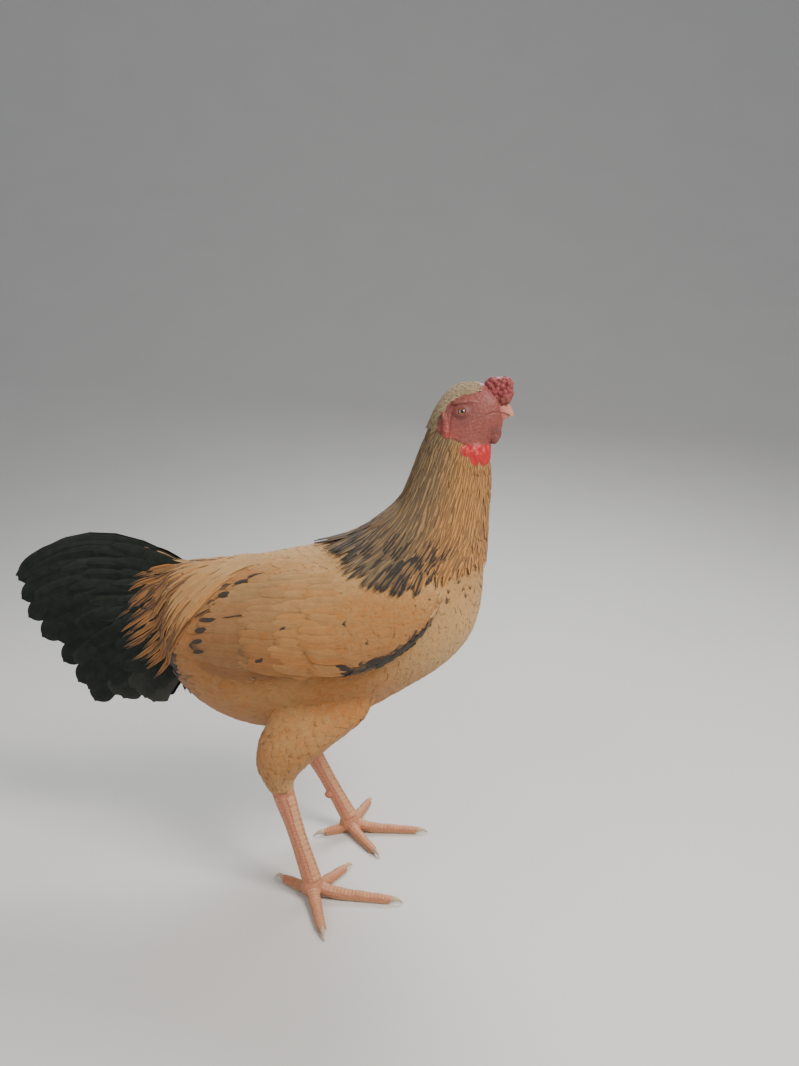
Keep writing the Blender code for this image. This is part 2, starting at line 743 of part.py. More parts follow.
def make_claw(side, label, toe, toe_solid):
    """A short blunt claw that curves down to the floor."""
    heading, at = toe_shape(label, side, toe)
    root, radius = at(1.0)
    radius *= 0.80
    across = heading.cross(Vector((0, 0, 1)))
    rings = []
    for k in range(-1, CLAW_STEPS):
        t = k / CLAW_STEPS
        size = radius * (1 - 0.62 * max(0.0, t))
        rise = between(root.z, size, min(1.0, max(0.0, t) * 1.2)) + CLAW_CURVE * math.sin(math.pi * max(0.0, t))
        middle = Vector((root.x, root.y, rise)) + heading * CLAW_LENGTH * t
        rings.append([
            middle + across * size * 0.9 * math.cos(a) + Vector((0, 0, size * math.sin(a)))
            for a in (2 * math.pi * (j + 0.5) / 6 for j in range(6))
        ])
    tip = Vector((root.x, root.y, 0.0010)) + heading * CLAW_LENGTH
    claw = loft(f"claw_{toe}_{label}", rings, end_pole=tip, finish=material("horn", HORN))
    return cut_clear(cut_floor(claw), [toe_solid])


# Tail: a roof of long feathers, open underneath, that fans from the rump and droops behind it
TAIL_TOP_ROOT = Vector((-0.160, 0, 0.372))
TAIL_LOW_ROOT = Vector((-0.172, 0, 0.262))
TAIL_ROWS = (
    # feather tip x and z, and how far the feather bows back and up on its way there
    (-0.404, 0.362, -0.022, 0.096),
    (-0.401, 0.338, -0.020, 0.072),
    (-0.386, 0.312, -0.020, 0.056),
    (-0.362, 0.280, -0.020, 0.042),
    (-0.332, 0.246, -0.020, 0.030),
    (-0.308, 0.207, -0.020, 0.020),
    (-0.262, 0.212, -0.016, 0.010),
    (-0.216, 0.206, -0.012, 0.000),
)
TAIL_SPREAD = 0.030
TAIL_RIDGE = 0.0022
TAIL_WALL = 0.0035
TAIL_STEPS = 6
TAIL_OUTSIDE = 7
TAIL_INSIDE = 3
TAIL_CORE_END = 0.88
TAIL_THICK = 0.0015
TAIL_HEIGHTS = (0.11, 0.27)
TAIL_TIERS = (
    # top and bottom fan, feathers, share at the root and at the tip, half width, outline, lift at the tip
    (0.06, 0.52, 5, 0.30, 1.00, 0.0168, WIDE_TIP, 0.0004),
    (0.62, 0.76, 2, 0.30, 1.00, 0.0175, SQUARE_TIP, 0.0004),
    (0.92, 0.92, 1, 0.30, 1.02, 0.0165, WIDE_TIP, 0.0004),
    (0.14, 0.80, 3, 0.12, 0.56, 0.0165, ROUND_TIP, 0.0020),
    (0.005, 0.005, 1, 0.10, 1.02, 0.0100, LONG_TIP, 0.0016),
)


def tail_point(fan, share, side, lift=0.0):
    """A place on the tail: fan 0 along its top and 1 along its low edge, share 0 at the root and 1 at the tips."""
    tip_x, tip_z, bow_x, bow_z = eased(TAIL_ROWS, fan)
    root = TAIL_TOP_ROOT.lerp(TAIL_LOW_ROOT, fan)
    tip = Vector((tip_x, 0, tip_z))
    bow = (root + tip) / 2 + Vector((bow_x, 0, bow_z))
    place = root * (1 - share) ** 2 + bow * 2 * share * (1 - share) + tip * share ** 2
    spread = TAIL_SPREAD * math.sin(math.pi * min(1.0, fan * 0.62 + 0.02)) * (1 - 0.55 * share ** 1.5)
    return place + Vector((0, side * (TAIL_RIDGE + spread + lift), 0))


def tail_ring(share):
    ring = []
    for side, way in ((-1, 1), (1, -1)):
        outside = [tail_point(k / (TAIL_OUTSIDE - 1), share, side) for k in range(TAIL_OUTSIDE)]
        inside = []
        for k in range(TAIL_INSIDE):
            fan = 1 - 0.72 * k / (TAIL_INSIDE - 1)
            deep = min(TAIL_WALL, TAIL_RIDGE + TAIL_SPREAD)
            inside.append(tail_point(fan, share, side, -deep))
        half = outside + inside
        ring += half if way > 0 else half[::-1]
    return ring


def make_tail_feathers():
    """Main feathers fanned down each side, coverts over their roots, and a sickle along the top."""
    blades = []
    for side in (-1, 1):
        def place_on(share, fan, across, rise):
            return tail_point(fan + across / between(*TAIL_HEIGHTS, share), share, side, rise)

        for top, bottom, count, root, tip, half_width, outline, lift in TAIL_TIERS:
            for k in range(count):
                fan = between(top, bottom, k / max(1, count - 1))
                end = tip * (1 + 0.02 * math.sin(k * 2.1 + 5 * top))
                blades.append(blade(place_on, (root, fan), (end, fan), half_width, TAIL_THICK, outline,
                                    (-0.0016, lift), tuck=0.0007))
    return blades


def make_tail(torso):
    rings = [tail_ring(TAIL_CORE_END * k / TAIL_STEPS) for k in range(TAIL_STEPS + 1)]
    shape = bmesh.new()
    rows = [[shape.verts.new(p) for p in ring] for ring in rings]
    count = len(rows[0])
    for low, high in zip(rows, rows[1:]):
        for k in range(count):
            shape.faces.new((low[k], low[(k + 1) % count], high[(k + 1) % count], high[k]))
    half = count // 2
    for row in (rows[0], rows[-1]):
        for k in range(half - 1):
            shape.faces.new((row[k], row[k + 1], row[count - 2 - k], row[count - 1 - k]))
    bmesh.ops.triangulate(shape, faces=shape.faces)
    core = new_object("core", shape)
    tail = fuse("tail", [core, *make_tail_feathers()], material("tail_feather", TAIL_BLACK))
    return cut_clear(tail, [torso])


# Saddle: the long feathers that fall from the back over both sides of the rump and the root of the tail
SADDLE_ROWS = (
    # x, lowest z on the side, thickness
    (-0.085, 0.372, 0.0012),
    (-0.115, 0.350, 0.0024),
    (-0.145, 0.320, 0.0034),
    (-0.175, 0.288, 0.0040),
    (-0.205, 0.262, 0.0044),
    (-0.228, 0.282, 0.0038),
    (-0.252, 0.315, 0.0032),
)
SADDLE_REAR = 0.55
SADDLE_STEPS = 4
SADDLE_OUTSIDE = 11
SADDLE_INSIDE = 3
SADDLE_MIDDLE = 0.060
SADDLE_SIDE = 0.86
SADDLE_GIRTH = 0.095
SADDLE_THICK = 0.0013
SADDLE_TIERS = (
    # feathers a side, first and last root (x, v), first and last tip (x, v), half width, lift at the tip
    (5, (-0.128, 0.16), (-0.120, 0.86), (-0.238, 0.42), (-0.208, 1.02), 0.0088, 0.0008),
    (4, (-0.085, 0.14), (-0.078, 0.78), (-0.180, 0.24), (-0.152, 0.96), 0.0078, 0.0014),
)
SADDLE_BULGE = 0.016


def saddle_point(ground, x, v, side, lift=0.0):
    """A place on the saddle: v 0 on the ridge of the back and 1 at its low edge."""
    share = (SADDLE_ROWS[0][0] - x) / (SADDLE_ROWS[0][0] - SADDLE_ROWS[-1][0])
    low, thick = eased([row[1:] for row in SADDLE_ROWS], max(0.0, min(1.0, share)))
    top = ground.toward(Vector((x, 0, 0.28)), Vector((x, 0, 0.5)))[0].z
    middle = max(low, top - SADDLE_MIDDLE)
    origin = Vector((x, 0, between(middle, low, max(0.0, v * 1.6 - 0.6))))
    lean = min(v, 1.0) * math.pi / 2
    place, normal = ground.toward(origin, origin + Vector((0, side * math.sin(lean), math.cos(lean))))
    return place + normal * (thick + lift)


def make_saddle_feathers(ground):
    blades = []
    for side in (-1, 1):
        def place_on(x, v, across, rise):
            return saddle_point(ground, x, v + across / SADDLE_GIRTH, side, rise)

        for count, first_root, last_root, first_tip, last_tip, half_width, lift in SADDLE_TIERS:
            for k in range(count):
                t = k / (count - 1)
                root = [between(a, b, t) for a, b in zip(first_root, last_root)]
                tip = [between(a, b, t) for a, b in zip(first_tip, last_tip)]
                tip[0] -= SADDLE_BULGE * 4 * t * (1 - t)
                blades.append(blade(place_on, root, tip, half_width, SADDLE_THICK, FALLING_TIP,
                                    (-0.0022, lift + 0.0003 * math.sin(k * 2.3)), bow=-0.02))
    return blades


def make_saddle(torso, tail, wings):
    ground = Ground(torso, tail, *wings)
    rings = []
    for step in range(SADDLE_STEPS + 1):
        x = between(SADDLE_ROWS[0][0], SADDLE_ROWS[-1][0], SADDLE_REAR * step / SADDLE_STEPS)
        outer = []
        for k in range(SADDLE_OUTSIDE):
            v = 2 * k / (SADDLE_OUTSIDE - 1) - 1
            outer.append(saddle_point(ground, x, abs(v) * SADDLE_SIDE, -1 if v < 0 else 1))
        inner_z = min(p.z for p in outer) - 0.004
        inner = [Vector((x, between(outer[-1].y, outer[0].y, k / (SADDLE_INSIDE - 1)) * 0.5, inner_z))
                 for k in range(SADDLE_INSIDE)]
        rings.append(outer + inner)
    pad = loft("pad", rings)
    saddle = fuse("saddle", [pad, *make_saddle_feathers(ground)], material("saddle_feather", BUFF))
    return cut_clear(saddle, [torso, tail, *wings])


# Beak: upper and lower halves that close on the line of the mouth
BEAK_ROOT_X = 0.198
BEAK_TIP = Vector((0.2195, 0, 0.566))
BEAK_HIGH = 0.590
BEAK_LOW = 0.5555
BEAK_HALF_WIDTH = 0.0105
NOSTRIL = (Vector((0.2080, 0.0088, 0.5765)), (0.0020, 0.0016, 0.0010))
BEAK_STEPS = 6
BEAK_POINTS = 12


def half_round(x, wide, near, far, count):
    """A ring with a flat side at height near and a rounded one out to height far."""
    ring = []
    for j in range(count):
        a = math.pi * j / (count - 1)
        ring.append(Vector((x, wide * math.cos(a), near + (far - near) * math.sin(a))))
    return ring


def make_beak(head):
    halves = []
    upper = []
    lower = []
    for k in range(BEAK_STEPS):
        t = k / BEAK_STEPS
        x = between(BEAK_ROOT_X, BEAK_TIP.x, t)
        wide = BEAK_HALF_WIDTH * (1 - t ** 2.2) + 0.0012
        ridge = between(BEAK_HIGH, BEAK_TIP.z + 0.003, t ** 2.2)
        edge = between(MOUTH_Z, BEAK_TIP.z - 0.001, t ** 3)
        upper.append(half_round(x, wide, edge, ridge, BEAK_POINTS))
        x = between(BEAK_ROOT_X, BEAK_TIP.x - 0.005, t)
        edge -= GAP + 0.0006 * t
        keel = between(BEAK_LOW, edge - 0.003, t ** 2.5)
        lower.append(half_round(x, wide * 0.9, edge, keel, BEAK_POINTS))
    for name, rings, tip in (
        ("beak_upper", upper, BEAK_TIP - Vector((0, 0, 0.0012))),
        ("beak_lower", lower, Vector((BEAK_TIP.x - 0.0045, 0, BEAK_TIP.z - 0.0042))),
    ):
        half = loft(name, rings, end_pole=tip, finish=material("horn", HORN))
        if name == "beak_upper":
            nostrils = [bulb("nostril", mirrored(NOSTRIL[0], side), NOSTRIL[1], 0.3, 1) for side in (-1, 1)]
            apply_boolean(half, nostrils, "DIFFERENCE", "MANIFOLD")
        halves.append(cut_clear(half, [head]))
    return halves


# Red soft parts of the head: a tall pea comb of three rows over the beak, wattles, ear lobes and dewlap
COMB_CORE = (Vector((0.2002, 0, 0.5935)), (0.0158, 0.0080, 0.0168))
COMB_SQUARE = 0.62
PEA_RADIUS = 0.0058
PEA_ROWS = (
    # how far from the middle plane, first x, last x, height, peas
    (0.0000, 0.1930, 0.2080, 0.6060, 2),
    (0.0060, 0.1900, 0.2120, 0.5985, 3),
    (0.0060, 0.2060, 0.2060, 0.5885, 1),
)
SOFT_PARTS = {
    # name: bulbs of one side, each a middle, half size, tilt and fineness
    "wattle": (
        (Vector((0.1985, 0.0078, 0.5475)), (0.0076, 0.0044, 0.0110), -0.10, 1),
        (Vector((0.1968, 0.0090, 0.5400)), (0.0066, 0.0038, 0.0078), -0.05, 2),
    ),
    "ear_lobe": (
        (Vector((0.1435, 0.0245, 0.5500)), (0.0058, 0.0052, 0.0128), -0.15, 2),
        (Vector((0.1480, 0.0245, 0.5420)), (0.0068, 0.0050, 0.0088), -0.25, 1),
    ),
}
DEWLAP_BAND = (Vector((0.1700, 0, 0.5220)), (0.0230, 0.0276, 0.0120))
DEWLAP_PLEATS = (
    # middle, half size
    (Vector((0.1855, 0.0085, 0.5225)), (0.0072, 0.0062, 0.0115)),
    (Vector((0.1700, 0.0205, 0.5215)), (0.0110, 0.0062, 0.0105)),
)


def make_comb(head, beak):
    pieces = [bulb("core", *COMB_CORE, 0.0, 2, COMB_SQUARE)]
    for off, first_x, last_x, height, count in PEA_ROWS:
        for k in range(count):
            x = between(first_x, last_x, k / max(1, count - 1))
            z = height + 0.0008 * math.cos(k * 2.2)
            for y in sorted({off, -off}):
                size = PEA_RADIUS * (1 + 0.09 * math.sin(k * 1.9 + 400 * y))
                pieces.append(bulb("pea", Vector((x, y, z)), (size, size, size), 0.3 * k))
    comb = fuse("comb", pieces, material("comb_skin", RED_SKIN))
    return cut_clear(comb, [head, *beak])


def make_soft_parts(head, neck, comb, beak):
    """Wattles and ear lobes of both sides, and the pleated dewlap round the throat between them."""
    finish = material("red_skin", RED_SKIN)
    made = []
    for name, bulbs in SOFT_PARTS.items():
        for label, side in (("right", -1), ("left", 1)):
            pieces = [bulb(name, mirrored(row[0], side), *row[1:]) for row in bulbs]
            part = fuse(f"{name}_{label}", pieces, finish)
            made.append(cut_clear(part, [head, neck, comb, *beak]))
    pieces = [bulb("band", *DEWLAP_BAND)]
    for middle, size in DEWLAP_PLEATS:
        for side in (-1, 1):
            pieces.append(bulb("pleat", mirrored(middle, side), size, 0.1))
    cut_clear(fuse("dewlap", pieces, finish), [head, neck, *made])


def shade(made):
    made.data.shade_smooth()
    made.data.set_sharp_from_angle(angle=math.radians(40))


def main():
    clear_scene()
    torso = make_torso()
    head = make_head()
    wings = []
    for label, side in (("right", -1), ("left", 1)):
        wing = make_wing(torso, side, label)
        wings.append(wing)
        make_thigh(torso, wing, side, label)
        shank = make_shank(label, side)
        foot = make_foot(label, shank)
        placed = [foot, shank]
        for toe in TOES[label]:
            toe_solid = make_toe(label, side, toe, placed)
            placed.append(toe_solid)
            make_claw(side, label, toe, toe_solid)
    neck = make_neck(torso, wings, head)
    tail = make_tail(torso)
    make_saddle(torso, tail, wings)
    beak = make_beak(head)
    make_soft_parts(head, neck, make_comb(head, beak), beak)
    for made in bpy.context.scene.objects:
        made.data.transform(Matrix.Translation((FEET_TO_MIDDLE, 0, 0)))
        shade(made)


main()
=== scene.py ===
"""An aseel cock at life size, standing still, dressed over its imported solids."""

import math

import bmesh
import bpy
import numpy as np
from mathutils import Matrix, Vector
from mathutils.bvhtree import BVHTree
from mathutils.noise import voronoi


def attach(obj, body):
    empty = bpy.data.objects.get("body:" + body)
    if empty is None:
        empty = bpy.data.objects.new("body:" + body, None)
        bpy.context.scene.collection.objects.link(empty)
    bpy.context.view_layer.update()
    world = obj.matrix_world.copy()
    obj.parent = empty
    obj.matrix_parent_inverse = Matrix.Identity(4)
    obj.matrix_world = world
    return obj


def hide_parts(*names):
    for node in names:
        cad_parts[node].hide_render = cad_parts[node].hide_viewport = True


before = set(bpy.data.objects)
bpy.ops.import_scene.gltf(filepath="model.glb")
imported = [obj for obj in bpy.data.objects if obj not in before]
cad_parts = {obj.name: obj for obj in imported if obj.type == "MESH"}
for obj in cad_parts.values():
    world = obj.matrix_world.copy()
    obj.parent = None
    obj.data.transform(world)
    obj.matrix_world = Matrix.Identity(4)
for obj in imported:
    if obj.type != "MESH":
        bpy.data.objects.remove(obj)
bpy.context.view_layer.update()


# The body's skin
# One surface runs from the crown over the neck, trunk and folded arms to the hocks. It lies under the
# feathers by their depth and shows only where they part. Its lofts are melted together and let in.
FEET_TO_MIDDLE = 0.0925
COAT_DEPTH = 0.0035
SKIN_GRAIN = 0.0030
FAR = 0.5
TRUNK_STEPS, NECK_STEPS, NAPE_STEPS = 30, 10, 8
NAPE_ROWS = 4
ARM_STEPS, ARM_HEIGHTS, ARM_BACKS = 24, 12, 5
ARM_SINK = 0.006
ARM_FULLEST = 0.33
THIGH_STEPS, THIGH_POINTS = 14, 24
TRUNK = (
    # back line x and z, belly line x and z, half width, how far the widest place sits low
    (-0.203, 0.366, -0.199, 0.280, 0.026, 0.0),
    (-0.188, 0.382, -0.184, 0.232, 0.048, 0.0),
    (-0.145, 0.387, -0.142, 0.200, 0.068, 0.02),
    (-0.095, 0.396, -0.088, 0.184, 0.082, 0.04),
    (-0.045, 0.406, -0.030, 0.186, 0.090, 0.05),
    (0.000, 0.415, 0.035, 0.204, 0.092, 0.04),
    (0.030, 0.425, 0.095, 0.238, 0.090, 0.02),
    (0.053, 0.437, 0.145, 0.272, 0.085, 0.0),
    (0.071, 0.450, 0.175, 0.310, 0.076, 0.0),
    (0.085, 0.462, 0.186, 0.356, 0.065, 0.0),
    (0.096, 0.477, 0.187, 0.402, 0.054, 0.0),
)
NECK = (
    (0.096, 0.477, 0.187, 0.402, 0.054, 0.0),
    (0.104, 0.498, 0.189, 0.448, 0.043, 0.0),
    (0.113, 0.524, 0.192, 0.486, 0.035, 0.0),
    (0.123, 0.552, 0.192, 0.517, 0.030, 0.0),
)
SKULL = (
    (0.120, 0.554, 0.192, 0.519, 0.0290, 0.0),
    (0.133, 0.580, 0.193, 0.532, 0.0270, 0.05),
    (0.149, 0.597, 0.198, 0.538, 0.0245, 0.05),
    (0.167, 0.603, 0.203, 0.544, 0.0215, 0.0),
    (0.184, 0.601, 0.206, 0.552, 0.0175, -0.1),
    (0.196, 0.592, 0.207, 0.559, 0.0130, -0.1),
)
HOCKS = {"right": Vector((-0.046, -0.078, 0.132)), "left": Vector((-0.051, 0.074, 0.120))}
THIGH = (
    # from the hock: forward, outward, up, half length fore and aft, half width
    (0.003, 0.000, 0.000, 0.0145, 0.0125),
    (0.000, 0.000, 0.012, 0.0180, 0.0150),
    (0.003, 0.000, 0.030, 0.0290, 0.0210),
    (0.020, -0.004, 0.058, 0.0440, 0.0270),
    (0.044, -0.015, 0.086, 0.0560, 0.0270),
    (0.054, -0.034, 0.110, 0.0540, 0.0230),
    (0.052, -0.052, 0.132, 0.0380, 0.0180),
)
FOLDED_ARM = (
    # x, lowest z, highest z, thickness
    (0.143, 0.362, 0.376, 0.004),
    (0.128, 0.336, 0.390, 0.012),
    (0.100, 0.307, 0.400, 0.018),
    (0.060, 0.288, 0.401, 0.021),
    (0.010, 0.279, 0.396, 0.020),
    (-0.040, 0.272, 0.386, 0.017),
    (-0.080, 0.269, 0.370, 0.013),
    (-0.108, 0.272, 0.346, 0.008),
    (-0.128, 0.288, 0.322, 0.0045),
)


def between(a, b, t):
    return a + (b - a) * t


def eased(rows, t):
    """The row at share t of a list of number rows, on a smooth curve through them."""
    place = t * (len(rows) - 1)
    i = min(int(place), len(rows) - 2)
    u = place - i
    p0, p1 = rows[max(i - 1, 0)], rows[i]
    p2, p3 = rows[i + 1], rows[min(i + 2, len(rows) - 1)]
    return [
        0.5 * (2 * b + (c - a) * u + (2 * a - 5 * b + 4 * c - d) * u * u + (3 * b - a - 3 * c + d) * u ** 3)
        for a, b, c, d in zip(p0, p1, p2, p3)
    ]


def add_loft(shape, rings, end_pole=None):
    """Adds to a bmesh a closed skin through rings of equal count, with a fan to a pole at each end."""
    rows = [[shape.verts.new(p) for p in ring] for ring in rings]
    count = len(rows[0])
    for low, high in zip(rows, rows[1:]):
        for k in range(count):
            shape.faces.new((low[k], low[(k + 1) % count], high[(k + 1) % count], high[k]))
    for row, pole in ((rows[0], None), (rows[-1], end_pole)):
        hub = shape.verts.new(sum((v.co for v in row), Vector()) / count if pole is None else pole)
        for k in range(count):
            shape.faces.new((row[k], row[(k + 1) % count], hub))


def round_turns(count):
    """Evenly spaced angles once round."""
    return [2 * math.pi * k / count for k in range(count)]


def new_piece(name, shape):
    """Links the filled bmesh as a smooth object, its faces turned outwards."""
    bmesh.ops.recalc_face_normals(shape, faces=shape.faces)
    mesh = bpy.data.meshes.new(name)
    shape.to_mesh(mesh)
    shape.free()
    mesh.shade_smooth()
    piece = bpy.data.objects.new(name, mesh)
    bpy.context.scene.collection.objects.link(piece)
    return piece


def applied(piece):
    """Applies the piece's modifiers."""
    bpy.context.view_layer.update()
    mesh = bpy.data.meshes.new_from_object(piece.evaluated_get(bpy.context.evaluated_depsgraph_get()))
    piece.modifiers.clear()
    piece.data = mesh
    mesh.shade_smooth()
    return piece


def melted(piece, grain, smoothing):
    """Makes one even closed surface of the piece's overlapping solids, and eases it."""
    melt = piece.modifiers.new("Melt", "REMESH")
    melt.mode = "VOXEL"
    melt.voxel_size = grain
    ease = piece.modifiers.new("Ease", "SMOOTH")
    ease.factor = 0.5
    ease.iterations = smoothing
    return applied(piece)


def oval_rings(rows, steps, count=48):
    """Egg-shaped rings in the upright planes through each row's back and belly points."""
    rings = []
    for step in range(steps + 1):
        back_x, back_z, belly_x, belly_z, wide, low = eased(rows, step / steps)
        back, belly = Vector((back_x, 0, back_z)), Vector((belly_x, 0, belly_z))
        middle, half = (back + belly) / 2, (back - belly) / 2
        rings.append([
            middle + half * math.cos(a) + Vector((0, wide * math.sin(a) * (1 - low * math.cos(a)), 0))
            for a in round_turns(count)
        ])
    return rings


def vertex_rows(mesh, kind):
    """Three numbers for each vertex: its place for kind "co", or its normal for kind "normal"."""
    rows = np.empty(len(mesh.vertices) * 3)
    mesh.vertices.foreach_get(kind, rows)
    return rows.reshape(-1, 3)


class Ground:
    """A surface that feathers lie on."""

    def __init__(self, mesh):
        self.points = vertex_rows(mesh, "co")
        self.tree = BVHTree.FromPolygons(
            [Vector(p) for p in self.points], [tuple(f.vertices) for f in mesh.polygons]
        )

    def under(self, places):
        """The nearest places on the surface and their outward normals."""
        found = [self.tree.find_nearest(Vector(p)) for p in places]
        return np.array([f[0] for f in found]), np.array([f[1] for f in found])

    def toward(self, middle, point):
        """The outermost place on the ray that runs from a middle out through a point."""
        out = (point - middle).normalized()
        place, normal, _, _ = self.tree.ray_cast(middle + out * FAR, -out)
        return (place, normal) if place else (point, out)

    def beside(self, x, z, side):
        """The outermost place straight out to one side at x and z, and its normal."""
        return self.toward(Vector((x, 0, z)), Vector((x, side * 0.01, z)))


def arm_swell(v):
    """The folded arm's thickness at share v of its height: blunt below, fullest at a third, thin on top."""
    if v < ARM_FULLEST:
        return between(0.55, 1.0, math.sin(max(0.0, v) / ARM_FULLEST * math.pi / 2))
    return math.cos((min(1.0, v) - ARM_FULLEST) / 0.67 * math.pi / 2) * 0.94 + 0.06


def arm_row(x):
    """The folded arm's low edge, high edge and thickness at this x."""
    for front, rear in zip(FOLDED_ARM, FOLDED_ARM[1:]):
        if x >= rear[0]:
            t = max(0.0, (front[0] - x) / (front[0] - rear[0]))
            return [between(a, b, t) for a, b in zip(front[1:], rear[1:])]
    return FOLDED_ARM[-1][1:]


def add_arm(shape, ground, side):
    """The folded arm and its flight feathers' bulk, as a pad on the side of the trunk."""
    rings = []
    for step in range(ARM_STEPS + 1):
        x, low, high, thick = eased(FOLDED_ARM, step / ARM_STEPS)
        ring = []
        for k in range(ARM_HEIGHTS + 1):
            place, normal = ground.beside(x, between(low, high, k / ARM_HEIGHTS), side)
            ring.append(place + normal * thick * arm_swell(k / ARM_HEIGHTS))
        for k in range(ARM_BACKS):
            place, normal = ground.beside(x, between(high, low, (k + 0.5) / ARM_BACKS), side)
            ring.append(place - normal * ARM_SINK)
        rings.append(ring)
    add_loft(shape, rings)


def add_thigh(shape, label, side):
    """A thigh, from the hock up into the trunk."""
    rings = []
    for step in range(THIGH_STEPS + 1):
        forward, outward, up, length, width = eased(THIGH, step / THIGH_STEPS)
        middle = HOCKS[label] + Vector((forward, side * outward, up))
        rings.append([
            middle + Vector((length * math.cos(a), width * math.sin(a), 0))
            for a in round_turns(THIGH_POINTS)
        ])
    add_loft(shape, rings)


SIDES = (("right", -1), ("left", 1))
trunk_shape = bmesh.new()
add_loft(trunk_shape, oval_rings(TRUNK, TRUNK_STEPS))
trunk = new_piece("trunk", trunk_shape)
trunk_ground = Ground(trunk.data)
coat_shape = bmesh.new()
coat_shape.from_mesh(trunk.data)
add_loft(coat_shape, oval_rings(NECK, NECK_STEPS))
add_loft(coat_shape, oval_rings(SKULL[:NAPE_ROWS], NAPE_STEPS))
for label, side in SIDES:
    add_arm(coat_shape, trunk_ground, side)
    add_thigh(coat_shape, label, side)
coat_form = melted(new_piece("coat_form", coat_shape), SKIN_GRAIN, 3)
coat_ground = Ground(coat_form.data)
skin = new_piece("skin", bmesh.new())
skin.data = coat_form.data.copy()
let_in = skin.modifiers.new("LetIn", "DISPLACE")
let_in.strength = -COAT_DEPTH
let_in.mid_level = 0.0
melted(skin, SKIN_GRAIN, 4)
for helper in (trunk, coat_form):
    bpy.data.objects.remove(helper)


# Finishes for plumage
# A feather's web is fine barbs slanting off a paler shaft. Its colour comes from four marks that it
# carries: how apricot it is, how black the whole web is, how black its tip is, and a drawn lot.
BUFF = (0.50, 0.315, 0.130, 1.0)
APRICOT = (0.345, 0.135, 0.032, 1.0)
SOOT = (0.022, 0.018, 0.015, 1.0)


class Wire:
    """A socket that takes part in sums: each operator adds its Math node."""

    def __init__(self, finish, socket):
        self.finish, self.socket = finish, socket

    def sum(self, operation, *others):
        values = dict(enumerate((self, *others)))
        return self.finish.node("ShaderNodeMath", {"operation": operation}, values)[0]

    def __add__(self, other):
        return self.sum("ADD", other)

    __radd__ = __add__

    def __sub__(self, other):
        return self.sum("SUBTRACT", other)

    def __rsub__(self, other):
        return (self * -1.0) + other

    def __mul__(self, other):
        return self.sum("MULTIPLY", other)

    def __pow__(self, other):
        return self.sum("POWER", other)

    def __abs__(self):
        return self.sum("ABSOLUTE")

    def clipped(self):
        return self.sum("MAXIMUM", 0.0).sum("MINIMUM", 1.0)

    def rising(self, start, end):
        """0 below start and 1 above end, on an eased slope."""
        values = {0: self, 1: start, 2: end, 3: 0.0, 4: 1.0}
        return self.finish.node("ShaderNodeMapRange", {"interpolation_type": "SMOOTHSTEP"}, values)[0]


class Finish:
    """A material: constants go on its own shader, and what changes over the surface is wired to it."""

    def __init__(self, name, **constants):
        self.made = bpy.data.materials.new(name)
        self.made.use_nodes = True
        self.tree = self.made.node_tree
        self.shader = self.tree.nodes["Principled BSDF"]
        self.wear(**constants)

    def fill(self, socket, value):
        """Links a wire to the socket, or sets the socket to a constant."""
        if isinstance(value, Wire):
            self.tree.links.new(value.socket, socket)
        else:
            socket.default_value = value

    def node(self, kind, settings=None, values=None):
        """Adds a node of a kind with its settings, sets or links its sockets, and gives its outputs."""
        made = self.tree.nodes.new(kind)
        for name, value in (settings or {}).items():
            setattr(made, name, value)
        for socket, value in (values or {}).items():
            self.fill(made.inputs[socket], value)
        return [Wire(self, socket) for socket in made.outputs]

    def wear(self, **sockets):
        """Links or sets the shader's own sockets."""
        for name, value in sockets.items():
            self.fill(self.shader.inputs["IOR" if name == "ior" else name.replace("_", " ").title()], value)

    def mix(self, low, high, share, blend="MIX"):
        settings = {"data_type": "RGBA", "blend_type": blend}
        return self.node("ShaderNodeMix", settings, {0: share, 6: low, 7: high})[2]

    def shaded(self, colour, light):
        """The colour made darker or lighter by a factor."""
        return self.mix(colour, self.vector(light, light, light), 1.0, "MULTIPLY")

    def noise(self, place, scale, detail=2.0):
        return self.node("ShaderNodeTexNoise", None, {"Vector": place, "Scale": scale, "Detail": detail})[0]

    def place(self):
        return self.node("ShaderNodeTexCoord")[3]

    def parts(self, vector):
        return self.node("ShaderNodeSeparateXYZ", None, {0: vector})

    def vector(self, x, y, z=0.0):
        return self.node("ShaderNodeCombineXYZ", None, {0: x, 1: y, 2: z})[0]

    def marks(self):
        """The four marks that each point of the piece carries."""
        colour, _, _, fourth = self.node("ShaderNodeAttribute", {"attribute_name": "Marks"})
        return (*self.node("ShaderNodeSeparateColor", None, {0: colour}), fourth)

    def vane(self):
        """The share across a feather's web from one edge to the other, and along it from root to tip."""
        return self.parts(self.node("ShaderNodeUVMap", {"uv_map": "Vane"})[0])[:2]

    def bumps(self, height, strength, distance):
        values = {"Height": height, "Strength": strength, "Distance": distance}
        self.wear(Normal=self.node("ShaderNodeBump", None, values)[0])


